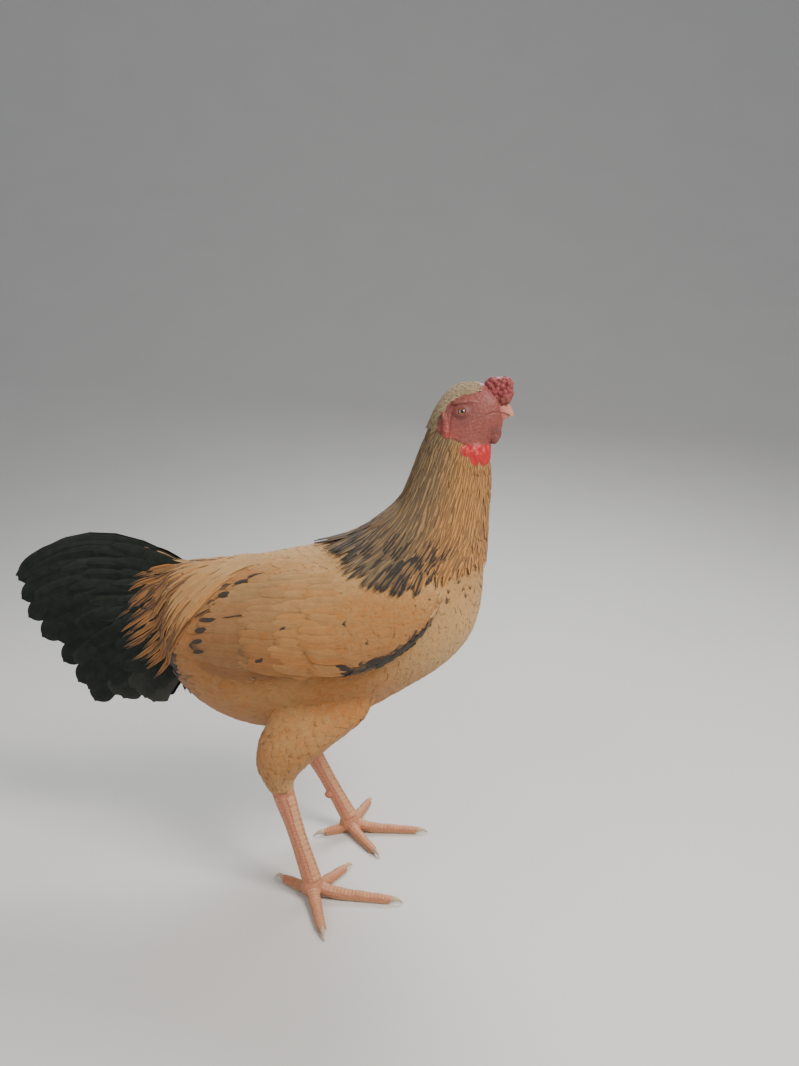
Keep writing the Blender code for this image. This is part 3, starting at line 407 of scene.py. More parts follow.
def plumage(name, pale, warm, dark, barb_count=46.0, streak=0.0, gloss=0.78, sheen=0.12, edge_light=0.10,
            depth=0.30, uneven=0.12, ior=1.4, gleam=(1.0, 1.0, 1.0, 1.0)):
    """Feather finish between a pale, a warm and a dark colour.

    Streak darkens the shaft, edge_light pales the rim, and depth is painted shade on the covered root.
    Uneven is how much one feather's lightness strays from the next one's, and gleam tints the gloss.
    """
    finish = Finish(name, roughness=gloss, sheen_weight=sheen, sheen_roughness=0.5, ior=ior,
                    specular_tint=gleam)
    warmth, black, tip, lot = finish.marks()
    u, v = finish.vane()
    edge = abs(u * 2.0 - 1.0)
    slant = finish.vector(u * 2.2, v * barb_count - edge * (barb_count * 0.16), lot * 40.0)
    barbs = finish.noise(slant, 1.0, 1.0)
    blotch = finish.noise(finish.place(), 90.0)
    web = finish.mix(pale, warm, (warmth + (blotch - 0.5) * 0.5).clipped())
    light = 0.77 + barbs * 0.34 + edge.rising(0.35, 1.0) * edge_light
    # painted shade: each web darker towards its root, where the feathers lying over it would shade it
    light = light + (lot - 0.5) * uneven - (1.0 - v) ** 2.0 * depth
    web = finish.shaded(web, light)
    soot = black + v.rising(0.62, 0.95) * tip * (0.75 + barbs * 0.5)
    if streak:
        soot = soot + (1.0 - edge.rising(0.10, 0.62)) * streak * (0.35 + v * 0.65) * (0.55 + lot * 0.9)
    finish.wear(base_color=finish.mix(web, dark, soot.clipped()))
    finish.bumps(barbs + (1.0 - edge.rising(0.0, 0.16)) * 0.8, 0.55, 0.0004)
    return finish.made


body_plumage = plumage("body_plumage", BUFF, APRICOT, SOOT, depth=0.24, uneven=0.20)


# Feathers of the trunk and thighs
# Soft rounded contour feathers, set like scattered tiles. They lie from the breast back and down over the
# belly and thighs, are small at the hock and long and loose at the vent, and their roots sit in the skin.
SEED = 4173
LIE = (
    # place (x, distance from the middle plane, z), heading there, feather length, half width
    ((0.188, 0.000, 0.450), (0.00, 0.06, -1.00), 0.020, 0.0046),
    ((0.186, 0.010, 0.380), (-0.05, 0.10, -1.00), 0.022, 0.0052),
    ((0.176, 0.010, 0.315), (-0.30, 0.10, -0.95), 0.023, 0.0058),
    ((0.146, 0.010, 0.272), (-0.80, 0.08, -0.62), 0.024, 0.0060),
    ((0.096, 0.010, 0.238), (-0.94, 0.05, -0.34), 0.026, 0.0062),
    ((0.035, 0.010, 0.204), (-0.98, 0.04, -0.20), 0.027, 0.0064),
    ((-0.040, 0.010, 0.186), (-1.00, 0.02, 0.04), 0.028, 0.0066),
    ((-0.110, 0.020, 0.188), (-0.98, 0.02, 0.20), 0.030, 0.0066),
    ((-0.165, 0.020, 0.212), (-0.98, 0.02, -0.05), 0.036, 0.0066),
    ((-0.195, 0.015, 0.290), (-0.85, 0.05, -0.55), 0.036, 0.0060),
    ((0.120, 0.070, 0.400), (-0.70, 0.10, -0.72), 0.022, 0.0054),
    ((0.150, 0.070, 0.340), (-0.55, 0.12, -0.83), 0.022, 0.0056),
    ((0.130, 0.080, 0.300), (-0.80, 0.10, -0.60), 0.023, 0.0058),
    ((0.070, 0.090, 0.270), (-0.92, 0.05, -0.40), 0.025, 0.0062),
    ((0.010, 0.088, 0.250), (-0.80, 0.04, -0.60), 0.026, 0.0064),
    ((-0.060, 0.080, 0.250), (-0.86, 0.04, -0.50), 0.028, 0.0064),
    ((-0.130, 0.070, 0.260), (-0.92, 0.02, -0.38), 0.032, 0.0064),
    ((0.050, 0.040, 0.430), (-1.00, 0.10, -0.20), 0.024, 0.0056),
    ((-0.020, 0.040, 0.410), (-1.00, 0.10, -0.12), 0.026, 0.0060),
    ((-0.100, 0.040, 0.395), (-1.00, 0.14, -0.14), 0.028, 0.0058),
    ((0.020, 0.095, 0.215), (-0.55, 0.02, -0.84), 0.026, 0.0062),
    ((-0.040, 0.095, 0.215), (-0.42, 0.02, -0.90), 0.026, 0.0060),
    ((-0.020, 0.090, 0.175), (-0.30, 0.02, -0.95), 0.021, 0.0052),
    ((-0.060, 0.090, 0.170), (-0.10, 0.02, -1.00), 0.020, 0.0050),
    ((-0.040, 0.090, 0.145), (-0.06, 0.00, -1.00), 0.013, 0.0036),
    ((-0.048, 0.078, 0.128), (0.00, 0.00, -1.00), 0.009, 0.0028),
)
NEAREST = 1e-5


def lie_at(places):
    """Heading, length and half width for feathers rooted at these places, blended from the lie's rows."""
    spots = np.array([row[0] for row in LIE])
    ways = np.array([row[1] for row in LIE])
    sizes = np.array([row[2:] for row in LIE])
    folded = places * [1, 0, 1] + np.abs(places) * [0, 1, 0]
    apart = ((folded[:, None, :] - spots[None]) ** 2).sum(2)
    weight = 1 / (apart + NEAREST) ** 2
    weight /= weight.sum(1, keepdims=True)
    heading = weight @ ways
    heading[:, 1] *= np.where(places[:, 1] < 0, -1, 1)
    return unit(heading), weight @ sizes


def unit(vectors):
    return vectors / np.maximum(np.linalg.norm(vectors, axis=-1, keepdims=True), 1e-9)


def scattered(draw, candidates, spacing):
    """Indices of candidates that keep their own spacing from each other, taken in a drawn order."""
    cell = float(spacing.max())
    taken, kept = {}, []
    for i in draw.permutation(len(candidates)):
        place, room = candidates[i], spacing[i]
        home = tuple((place // cell).astype(int))
        near = (
            j
            for dx in (-1, 0, 1) for dy in (-1, 0, 1) for dz in (-1, 0, 1)
            for j in taken.get((home[0] + dx, home[1] + dy, home[2] + dz), ())
        )
        if all(((candidates[j] - place) ** 2).sum() > room * room for j in near):
            taken.setdefault(home, []).append(i)
            kept.append(i)
    return np.array(kept)


def laid(ground, roots, headings, lengths, stations, lifts):
    """Paths over the ground from each root along its heading, with the normals and ways across them.

    Stations are shares of the length. Lifts give the height above the ground at each station.
    """
    place, normal = ground.under(roots)
    heading = headings
    paths, normals, across = [], [], []
    last = 0.0
    for station in stations:
        heading = unit(heading - normal * (heading * normal).sum(1, keepdims=True))
        if station > last:
            place, normal = ground.under(place + heading * (lengths * (station - last))[:, None])
        last = station
        paths.append(place)
        normals.append(normal)
        across.append(unit(np.cross(normal, heading)))
    paths, normals, across = (np.stack(rows, 1) for rows in (paths, normals, across))
    return paths + normals * lifts[..., None], normals, across


class Feathers:
    """Closed thin vanes of one piece, gathered as arrays: a ring of points at each station, one at the tip.

    A ring's section is given by how far across the web its points stand, from -1 to 1, and how high.
    """

    COARSE = (np.array((-1.0, 0.0, 1.0, 0.0)), np.array((0.0, 1.0, 0.0, 1.0)))
    FINE = (np.array((-1.0, -0.5, 0.0, 0.5, 1.0, 0.0)), np.array((0.0, 0.75, 1.0, 0.75, 0.0, 1.0)))

    def __init__(self):
        self.batches = []

    def add(self, paths, normals, across, half, marks, homes, thick, camber,
            tilt=0.0, fine=False, point=0.7):
        """Adds a feather along each path, with half widths at its stations, marks and a home on the unwrap.

        Camber lowers the web's edges, tilt turns the web about its shaft, and point is how far the tip runs
        on. Both camber and tilt are shares of the half width, and point is a share of the last one.
        """
        count, stations, _ = paths.shape
        offsets, rises = self.FINE if fine else self.COARSE
        ring = len(offsets)
        shaft = np.where(offsets == 0, 0.5, 0.0)
        shaft[-1] = -0.5
        deep = (half * camber)[..., None] * (rises - 1.0) + shaft * thick
        deep = deep + (half * tilt)[..., None] * offsets
        rows = (
            paths[:, :, None]
            + across[:, :, None] * (half[..., None] * offsets)[..., None]
            + normals[:, :, None] * deep[..., None]
        )
        points = np.concatenate([rows.reshape(count, -1, 3), self.tips(paths, half * point)], 1)
        u = np.append(np.tile(offsets * 0.5 + 0.5, stations), 0.5)
        v = np.append(np.repeat(np.linspace(0.0, 0.97, stations), ring), 1.0)
        self.batches.append((points, np.stack([u, v], 1), marks, homes, ring, stations))

    @staticmethod
    def tips(paths, half):
        onward = unit(paths[:, -1] - paths[:, -2])
        return (paths[:, -1] + onward * half[:, -1:])[:, None]

    @staticmethod
    def pattern(ring, stations):
        """Corners of one feather's faces, and how many each face has."""
        corners, sizes = [], []
        for row in range(stations - 1):
            for k in range(ring):
                a, b = row * ring + k, row * ring + (k + 1) % ring
                corners += [a, a + ring, b + ring, b]
                sizes.append(4)
        end, tip = (stations - 1) * ring, stations * ring
        for k in range(ring):
            corners += [end + k, tip, end + (k + 1) % ring]
            sizes.append(3)
        corners += list(range(ring))
        sizes.append(ring)
        return np.array(corners), np.array(sizes)

    def piece(self, name, finish):
        """Links the gathered feathers as one object, with its OFBake and Vane maps and its marks."""
        points, corners, sizes, vane, bake, marks = [], [], [], [], [], []
        first = 0
        for rows, spots, mark, homes, ring, stations in self.batches:
            count, each, _ = rows.shape
            face_corners, face_sizes = self.pattern(ring, stations)
            starts = first + np.arange(count) * each
            points.append(rows.reshape(-1, 3))
            corners.append((starts[:, None] + face_corners).ravel())
            sizes.append(np.tile(face_sizes, count))
            vane.append(np.tile(spots, (count, 1)))
            bake.append((homes[:, None] + (spots - 0.5) * PATCH).reshape(-1, 2))
            marks.append(np.repeat(mark, each, 0))
            first += count * each
        points, corners, sizes = (np.concatenate(part) for part in (points, corners, sizes))
        vane, bake, marks = (np.concatenate(part) for part in (vane, bake, marks))
        mesh = bpy.data.meshes.new(name)
        mesh.vertices.add(len(points))
        mesh.vertices.foreach_set("co", points.ravel())
        mesh.loops.add(len(corners))
        mesh.loops.foreach_set("vertex_index", corners.astype(np.int32))
        mesh.polygons.add(len(sizes))
        loop_starts = np.concatenate([[0], np.cumsum(sizes)[:-1]])
        mesh.polygons.foreach_set("loop_start", loop_starts.astype(np.int32))
        mesh.update(calc_edges=True)
        for title, spots in (("OFBake", bake), ("Vane", vane)):
            mesh.uv_layers.new(name=title).uv.foreach_set("vector", spots[corners].ravel())
        give_marks(mesh, marks)
        mesh.materials.append(finish)
        mesh.shade_smooth()
        mesh.set_sharp_from_angle(angle=VANE_CREASE)
        made = bpy.data.objects.new(name, mesh)
        bpy.context.scene.collection.objects.link(made)
        return made


VANE_CREASE = math.radians(70)
PATCH = 0.003
MIDDLE_LINE = ((-0.30, 0.33), (-0.20, 0.32), (-0.05, 0.29), (0.10, 0.35), (0.16, 0.46), (0.20, 0.56))


def give_marks(mesh, marks):
    """Stores four marks on each vertex for the finishes to read."""
    mesh.attributes.new("Marks", "FLOAT_COLOR", "POINT").data.foreach_set("color", marks.ravel())


def homes_of(places):
    """Where roots lie on an unwrap of the bird: along it from beak to tail, and round its middle line."""
    middle_z = np.interp(places[:, 0], *zip(*MIDDLE_LINE))
    round_it = np.arctan2(places[:, 1], places[:, 2] - middle_z) / (2 * math.pi) + 0.5
    along = 0.25 - places[:, 0] + 0.55 * (0.62 - places[:, 2])
    return np.stack([np.clip(0.02 + 0.94 * along, 0.01, 0.99), 0.02 + 0.96 * round_it], 1)


def seat(piece, nodes):
    """Sets a piece over the feet as the solids stand, rides it on the bird, and hides the solids it stands
    for.
    """
    piece.data.transform(Matrix.Translation((FEET_TO_MIDDLE, 0, 0)))
    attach(piece, "root")
    if nodes:
        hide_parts(*nodes)


STATIONS = np.array((0.0, 0.3, 0.6, 0.84, 0.97))
ROUND_WEB = np.array((0.45, 0.88, 1.0, 0.78, 0.36))
MARK_SPOTS = (
    # place (x, z), half width and half height, blackness: single dark feathers on the sides
    (-0.0903, 0.3734, 0.0075, 0.0045, 0.80),
    (-0.1056, 0.3584, 0.0070, 0.0045, 0.75),
    (-0.0505, 0.3033, 0.0060, 0.0080, 0.70),
)
CAPE_HEM = ((0.030, 0.440), (0.070, 0.452), (0.130, 0.446), (0.190, 0.440))
UNDER_CAPE = 0.012
SADDLE_FRONT, SADDLE_LOW = -0.138, 0.32
HOCK_HEM = 0.128
ARM_LOW_MARGIN, ARM_HIGH_MARGIN = 0.004, 0.006
ARM_INSIDE = 0.035
UNDER_ARM = 0.010
OFF_TRUNK = 0.0035
FEATHER_ROOM = 0.19
ROOT_STRAY = 0.0012
COAT_RISES = np.array((-0.0036, -0.0016, -0.0006, -0.0001, 0.0000))
LOOSENESS = 0.0006
FLUFFINESS = (0.001, 0.0045)
COAT_SPLIT = 0.30


def step_up(value, start, end):
    """0 below start and 1 above end, on an eased slope."""
    share = np.clip((value - start) / (end - start), 0, 1)
    return share * share * (3 - 2 * share)


def spot(places, x, z, wide, high):
    """A soft patch on both sides of the bird, 1 at its middle and 0 past its rim."""
    apart = ((places[:, 0] - x) / wide) ** 2 + ((places[:, 2] - z) / high) ** 2
    return 1 - step_up(apart, 0.4, 1.3)


def side_spots(places):
    """Blackness of the few dark feathers on the sides."""
    return sum(share * spot(places, px, pz, wide, high) for px, pz, wide, high, share in MARK_SPOTS)


def body_marks(places, draw):
    """Apricot share, blackness, tip blackness and lot of the feathers rooted at these places."""
    x, _, z = places.T
    low_front = step_up(x, 0.06, 0.15) * (1 - step_up(z, 0.36, 0.44))
    warm = 0.72 + 0.16 * step_up(-x, -0.02, 0.15) - 0.45 * low_front - 0.30 * (1 - step_up(z, 0.15, 0.19))
    warm -= 0.45 * step_up(z, 0.385, 0.41) * (1 - step_up(x, 0.08, 0.13))
    warm += 0.20 * spot(places, 0.10, 0.26, 0.10, 0.04)
    rear_fluff = step_up(-x, 0.115, 0.150) * (1 - step_up(z, 0.260, 0.285))
    under_tail = step_up(-x, 0.146, 0.158) * (1 - step_up(z, 0.335, 0.36)) * step_up(z, 0.235, 0.262)
    lot = draw.random(len(places))
    black = 0.10 * step_up(-x, 0.05, 0.18) + side_spots(places) + 0.92 * under_tail
    black += rear_fluff * (0.18 + 0.65 * (draw.random(len(places)) < 0.38))
    flecks = spot(places, 0.165, 0.42, 0.035, 0.055) * (draw.random(len(places)) < 0.10)
    streaks = spot(places, -0.03, 0.19, 0.05, 0.05) * (draw.random(len(places)) < 0.10)
    tip = np.clip(flecks * 0.9 + streaks * 0.45, 0, 1)
    return np.stack([np.clip(warm + (lot - 0.5) * 0.25, 0, 1), np.clip(black, 0, 1), tip, lot], 1)


def on_arm(place):
    """Whether a place on the coat belongs to the folded arm."""
    x, y, z = place
    if not FOLDED_ARM[-1][0] < x < FOLDED_ARM[0][0]:
        return False
    low, high, _ = arm_row(x)
    return low + ARM_LOW_MARGIN < z < high - ARM_HIGH_MARGIN and abs(y) > ARM_INSIDE


def under_arm(place):
    """Whether a place is on the shelf under the folded arm's low edge, where nothing grows."""
    x, _, z = place
    if not FOLDED_ARM[-1][0] < x < FOLDED_ARM[0][0] or abs(z - arm_row(x)[0]) > UNDER_ARM:
        return False
    return trunk_ground.tree.find_nearest(Vector(place))[3] > OFF_TRUNK


def body_area(place):
    """Whether contour feathers grow here: not under the cape, the saddle or the wings' own coverts."""
    x, y, z = place
    hem = np.interp(x, *zip(*CAPE_HEM))
    saddle = x < SADDLE_FRONT and z > SADDLE_LOW + abs(y) * 0.1
    bare = saddle or on_arm(place) or under_arm(place)
    return HOCK_HEM < z < hem + UNDER_CAPE and not bare


draw = np.random.default_rng(SEED)
spread = np.repeat(coat_ground.points, 2, 0)
spread = spread + draw.normal(0, ROOT_STRAY, spread.shape)
spread = spread[[body_area(p) for p in spread]]
_, lie_sizes = lie_at(spread)
spread = spread[scattered(draw, spread, lie_sizes[:, 0] * FEATHER_ROOM)]
headings, lie_sizes = lie_at(spread)
headings = unit(headings + draw.normal(0, 0.07, headings.shape))
on_thigh = step_up(np.abs(spread[:, 1]), 0.035, 0.055) * (1 - step_up(spread[:, 2], 0.20, 0.235))
lengths = lie_sizes[:, 0] * draw.uniform(1.10, 1.45, len(spread))
widths = lie_sizes[:, 1] * draw.uniform(0.90, 1.25, len(spread)) * (1 - 0.25 * on_thigh)
fluffy = step_up(-spread[:, 0], 0.13, 0.19) * (1 - step_up(spread[:, 2], 0.30, 0.34))
loose = draw.uniform(0, LOOSENESS, len(spread)) + draw.uniform(*FLUFFINESS, len(spread)) * fluffy
lifts = COAT_RISES[None] + loose[:, None] * STATIONS[None] ** 2
paths, normals, across = laid(coat_ground, spread, headings, lengths, STATIONS, lifts)
marks = body_marks(spread, draw)
tilt = draw.normal(0, 0.035, (len(spread), 1))
upper = spread[:, 2] > COAT_SPLIT
for name, part, nodes in (
    ("breast_and_back_feathers", upper, ("torso",)),
    ("belly_and_thigh_feathers", ~upper, ("thigh_right", "thigh_left")),
):
    coat = Feathers()
    coat.add(paths[part], normals[part], across[part], widths[part, None] * ROUND_WEB, marks[part],
             homes_of(spread[part]), thick=0.0004, camber=0.16, tilt=tilt[part], point=1.0)
    seat(coat.piece(name, body_plumage), nodes)


# Hackle
# Long lance-shaped feathers round the whole neck, tier over tier, the lowest falling as a cape over the
# shoulders. They are taupe with dark shafts behind and golden on the throat, and the cape's tips are black.
CAPE = (
    # back line x and z, throat line x and z, half width, how far the sides hang lower, thickness
    (0.016, 0.396, 0.158, 0.376, 0.104, 0.016, 0.0028),
    (0.036, 0.412, 0.164, 0.396, 0.098, 0.014, 0.0028),
    (0.060, 0.430, 0.172, 0.412, 0.086, 0.010, 0.0030),
    (0.079, 0.456, 0.179, 0.432, 0.068, 0.006, 0.0032),
    (0.096, 0.500, 0.184, 0.466, 0.048, 0.003, 0.0028),
    (0.110, 0.540, 0.188, 0.498, 0.036, 0.000, 0.0018),
    (0.121, 0.560, 0.188, 0.522, 0.028, 0.000, 0.0005),
)
TAUPE = (0.185, 0.120, 0.056, 1.0)
GOLD = (0.39, 0.180, 0.050, 1.0)
HACKLE_TIERS = 17
HACKLE_COUNTS = (78, 62)
HACKLE_ROOTS = (0.36, 1.0)
HACKLE_REACH = (0.35, 0.13)
HACKLE_LIFTS = (0.0012, 0.0003)
HACKLE_SINK = -0.0022
HACKLE_WIDTHS = (0.0046, 0.0024)
HACKLE_STATIONS = np.array((0.0, 0.18, 0.36, 0.54, 0.70, 0.84, 0.94, 0.985))
LANCE_WEB = np.array((0.45, 0.80, 1.0, 0.98, 0.82, 0.58, 0.32, 0.14))


def cape_point(share, turn, lift):
    """A place on the cape and its normal: share 0 at the tips and 1 under the head, turn 0 on the nape."""
    back_x, back_z, throat_x, throat_z, wide, dip, thick = eased(CAPE, share)
    back, throat = Vector((back_x, 0, back_z)), Vector((throat_x, 0, throat_z))
    middle, half = (back + throat) / 2, (back - throat) / 2
    sag = dip * math.sin(turn) ** 2
    guess = middle + half * math.cos(turn) + Vector((0, wide * math.sin(turn), -sag))
    place, normal = coat_ground.toward(middle - Vector((0, 0, sag * 0.5)), guess)
    return place + normal * (thick + lift), normal


def strung(point_at, starts, ends, stations, lifts, bow=0.0):
    """Paths between pairs of parameters on a surface, and their normals and ways across, as laid() does.

    The surface is given by point_at(a, b, lift), and bow bends the second parameter halfway.
    """
    paths, normals = [], []
    for start, end, rises in zip(starts, ends, lifts):
        row = []
        for t, rise in zip(stations, rises):
            bent = between(start[1], end[1], t) + bow * 4 * t * (1 - t)
            row.append(point_at(between(start[0], end[0], t), bent, rise))
        paths.append([p for p, _ in row])
        normals.append([n for _, n in row])
    paths, normals = np.array(paths), unit(np.array(normals))
    onward = unit(np.gradient(paths, axis=1))
    across = unit(np.cross(normals, onward))
    return paths, unit(np.cross(onward, across)), across


draw = np.random.default_rng(SEED + 1)
starts, ends, lifts, widths, marks = [], [], [], [], []
for tier in range(HACKLE_TIERS):
    height = tier / (HACKLE_TIERS - 1)
    root_share = between(*HACKLE_ROOTS, height)
    count = int(between(*HACKLE_COUNTS, height))
    for k in range(count):
        turn = 2 * math.pi * (k + 0.5 * (tier % 2) + draw.uniform(-0.25, 0.25)) / count - math.pi
        away = abs(turn)
        front = max(0.0, away - 1.4) / 1.7
        beside_dewlap = step_up(away, 1.75, 2.05) * (1 - step_up(away, 2.75, 2.95))
        root = min(root_share + draw.uniform(-0.02, 0.02),
                   1.0 - 0.035 * beside_dewlap + draw.uniform(-0.02, 0.01))
        reach = between(*HACKLE_REACH, height ** 0.8) * (1 - 0.42 * front * (1 - height))
        reach *= draw.uniform(0.85, 1.15)
        tip = max(0.005 + 0.10 * (1 - step_up(away, 0.35, 0.9)), root - reach)
        drift = draw.normal(0, 0.035)
        starts.append((root, turn))
        ends.append((tip, turn + drift))
        top = between(*HACKLE_LIFTS, height) + draw.uniform(-0.0004, 0.0007)
        lifts.append(between(HACKLE_SINK, top, np.minimum(1.0, HACKLE_STATIONS * 1.5)))
        widths.append(between(*HACKLE_WIDTHS, height) * draw.uniform(0.85, 1.1) * (1 - 0.1 * front))
        lot = draw.random()
        golden = np.clip(0.10 + 1.05 * step_up(away, 1.1, 2.3) + (lot - 0.5) * 0.3, 0, 1)
        patch = step_up(away, 1.25, 1.6) * (1 - step_up(away, 2.1, 2.4)) * (1 - step_up(tip, 0.28, 0.42))
        side_tip = (1 - step_up(tip, 0.16, 0.44)) * (1 - step_up(away, 1.75, 2.2))
        sooty = max(0.30 * patch * (lot > 0.35), 0.62 * side_tip * (lot > 0.45))
        marks.append((golden, sooty, max(side_tip * (0.7 + 0.3 * (lot > 0.25)), patch), lot))
lifts, widths, marks = np.array(lifts), np.array(widths), np.array(marks)
paths, normals, across = strung(cape_point, starts, ends, HACKLE_STATIONS, lifts)
hackle = Feathers()
hackle.add(paths, normals, across, widths[:, None] * LANCE_WEB, marks, homes_of(paths[:, 0]),
           thick=0.0007, camber=0.30, tilt=draw.normal(0, 0.10, (len(widths), 1)), fine=True)
hackle_plumage = plumage("hackle_plumage", TAUPE, GOLD, SOOT, barb_count=60.0, streak=0.72, edge_light=0.42)
seat(hackle.piece("neck_hackle", hackle_plumage), ("neck",))


# Wings
# Each is folded: rows of small coverts over the arm, larger ones behind them, then the flight feathers of
# the forearm in a closed fan, with the hand's long ones as a line below it. The arm's low edge is black.
COVERT_SPACING = 0.21
COVERT_STRAY = 0.0010
COVERT_SIZES = ((0.004, 0.026), (0.06, 0.020), (0.14, 0.011))
COVERT_RISES = np.array((-0.0030, -0.0010, 0.0, 0.0004, 0.0004))
EDGE_FEATHERS = 40
EDGE_SPAN = (0.141, 0.034)
BLACK_EDGE_REAR, BLACK_EDGE_FRONT = 0.025, 0.128
WING_INSIDE = 0.03
EDGE_SIZES = ((0.02, 0.030), (0.08, 0.022), (0.14, 0.013))
EDGE_RISES = np.array((-0.0020, 0.0004, 0.0012, 0.0014, 0.0013))
FLIGHT_STATIONS = np.array((0.0, 0.14, 0.30, 0.46, 0.62, 0.77, 0.89, 0.96, 0.99))
FLIGHT_WEB = np.array((0.50, 0.80, 0.94, 1.0, 1.0, 0.95, 0.78, 0.50, 0.28))
HAND_WEB = np.array((0.50, 0.78, 0.92, 1.0, 0.92, 0.74, 0.50, 0.30, 0.16))
FLIGHTS = (
    # count, first and last root (x, z), first and last tip (x, z),
    # then half width, web, lift at the tip, how far the middle tips bulge back, duskiness:
    # partly the flights' own duller colour, partly painted shade, strongest on the rear tiers and low down
    (6, (0.050, 0.294), (0.030, 0.302), (-0.126, 0.278), (-0.147, 0.288),
     0.0070, HAND_WEB, -0.0008, 0.0, 0.34),
    (13, (-0.010, 0.288), (-0.025, 0.379), (-0.136, 0.276), (-0.086, 0.374),
     0.0105, FLIGHT_WEB, 0.0004, 0.030, 0.34),
    (15, (0.022, 0.291), (-0.002, 0.382), (-0.074, 0.287), (-0.058, 0.377),
     0.0090, FLIGHT_WEB, 0.0009, 0.010, 0.22),
    (14, (0.046, 0.293), (0.020, 0.384), (-0.036, 0.289), (-0.034, 0.379),
     0.0086, FLIGHT_WEB, 0.0013, 0.008, 0.0),
    (16, (0.064, 0.296), (0.038, 0.386), (-0.004, 0.291), (-0.008, 0.381),
     0.0076, FLIGHT_WEB, 0.0017, 0.006, 0.0),
)
REAR_TIER_LIFT = 0.0006
FLIGHT_SINK = -0.0024
ARM_OFF_BODY = 0.0026
DARK_FEATHERS = (
    # root (x, z), tip (x, z), half width: the few black feathers that show singly on the folded wing
    (-0.064, 0.3410, -0.112, 0.3325, 0.0014),
    (-0.092, 0.3358, -0.139, 0.3290, 0.0033),
    (-0.095, 0.3610, -0.118, 0.3560, 0.0040),
    (-0.080, 0.3760, -0.100, 0.3690, 0.0026),
    (-0.068, 0.3825, -0.085, 0.3760, 0.0019),
    (-0.122, 0.3210, -0.1435, 0.3170, 0.0034),
    (-0.125, 0.3080, -0.1455, 0.3045, 0.0030),
    (-0.126, 0.2965, -0.1445, 0.2930, 0.0024),
    (-0.122, 0.3450, -0.146, 0.3310, 0.0012),
    (-0.043, 0.3040, -0.063, 0.2905, 0.0032),
    (-0.018, 0.3350, -0.034, 0.3245, 0.0015),
    (0.117, 0.3420, 0.105, 0.3250, 0.0015),
)
DARK_RISE = 0.0014
DARK_WEB = np.array((0.12, 0.34, 0.60, 0.85, 1.0, 0.94, 0.72, 0.42, 0.16))


def wing_surface(side):
    """A function that gives a place at x, z and a lift over one folded wing, and its normal."""
    def on_wing(x, z, lift):
        low, high, thick = arm_row(x)
        place, normal = trunk_ground.beside(x, z, side)
        depth = max(thick * arm_swell((z - low) / (high - low)), ARM_OFF_BODY)
        return place + normal * (depth + lift), normal

    return on_wing


def make_dark_feathers(coat, side, draw):
    """The few single black feathers, each at its own place."""
    rows = np.array(DARK_FEATHERS)
    count = len(rows)
    lifts = np.tile(between(-0.0010, DARK_RISE, np.minimum(1.0, FLIGHT_STATIONS * 2.5)), (count, 1))
    paths, normals, across = strung(wing_surface(side), rows[:, :2], rows[:, 2:4], FLIGHT_STATIONS, lifts)
    marks = np.tile((0.6, 0.96, 0.0, 0.5), (count, 1))
    coat.add(paths, normals, across, rows[:, 4:] * DARK_WEB, marks, homes_of(paths[:, 0]), thick=0.0003,
             camber=0.16, tilt=draw.normal(0, 0.04, (count, 1)), fine=True)


def make_flights(coat, side, draw):
    """Tiers of flight feathers and large coverts on one side."""
    on_wing = wing_surface(side)
    for count, low_root, high_root, low_tip, high_tip, wide, web, lift, bulge, dusk_and_shade in FLIGHTS:
        rear = lift < REAR_TIER_LIFT
        stray = 0.12 if rear else 0.38
        starts, ends, lifts, marks = [], [], [], []
        for k in range(count):
            t = float(np.clip((k + draw.uniform(-stray, stray)) / (count - 1), 0, 1))
            root = [between(a, b, t) for a, b in zip(low_root, high_root)]
            tip = [between(a, b, t) for a, b in zip(low_tip, high_tip)]
            tip[0] -= bulge * 4 * t * (1 - t) - draw.uniform(-1, 1) * (0.002 + 0.022 * stray)
            starts.append(root)
            ends.append(tip)
            top = lift + 0.00035 * k / count + draw.uniform(0, 0.0005)
            lifts.append(between(FLIGHT_SINK, top, np.minimum(1.0, FLIGHT_STATIONS * 1.6)))
            lot = draw.random()
            rear_edge = 0.60 * (rear and lift > 0.0 and t > 0.2) * (draw.random() < 0.40)
            dark_tip = max(rear_edge, 0.30 * (draw.random() < 0.12))
            # duskiness, stronger low down: partly the flights' own duller colour, partly painted shade
            marks.append((np.clip(0.92 - 0.42 * t + (lot - 0.5) * 0.30, 0, 1),
                          dusk_and_shade * (1 - 0.45 * t) * (0.8 + 0.4 * lot), dark_tip, lot))
        widths = np.full(count, wide) * draw.uniform(0.93, 1.07, count)
        paths, normals, across = strung(on_wing, starts, ends, FLIGHT_STATIONS, lifts, bow=-0.003)
        coat.add(paths, normals, across, widths[:, None] * web, np.array(marks), homes_of(paths[:, 0]),
                 thick=0.0008, camber=0.14, tilt=np.full((count, 1), 0.05 * side), fine=True)


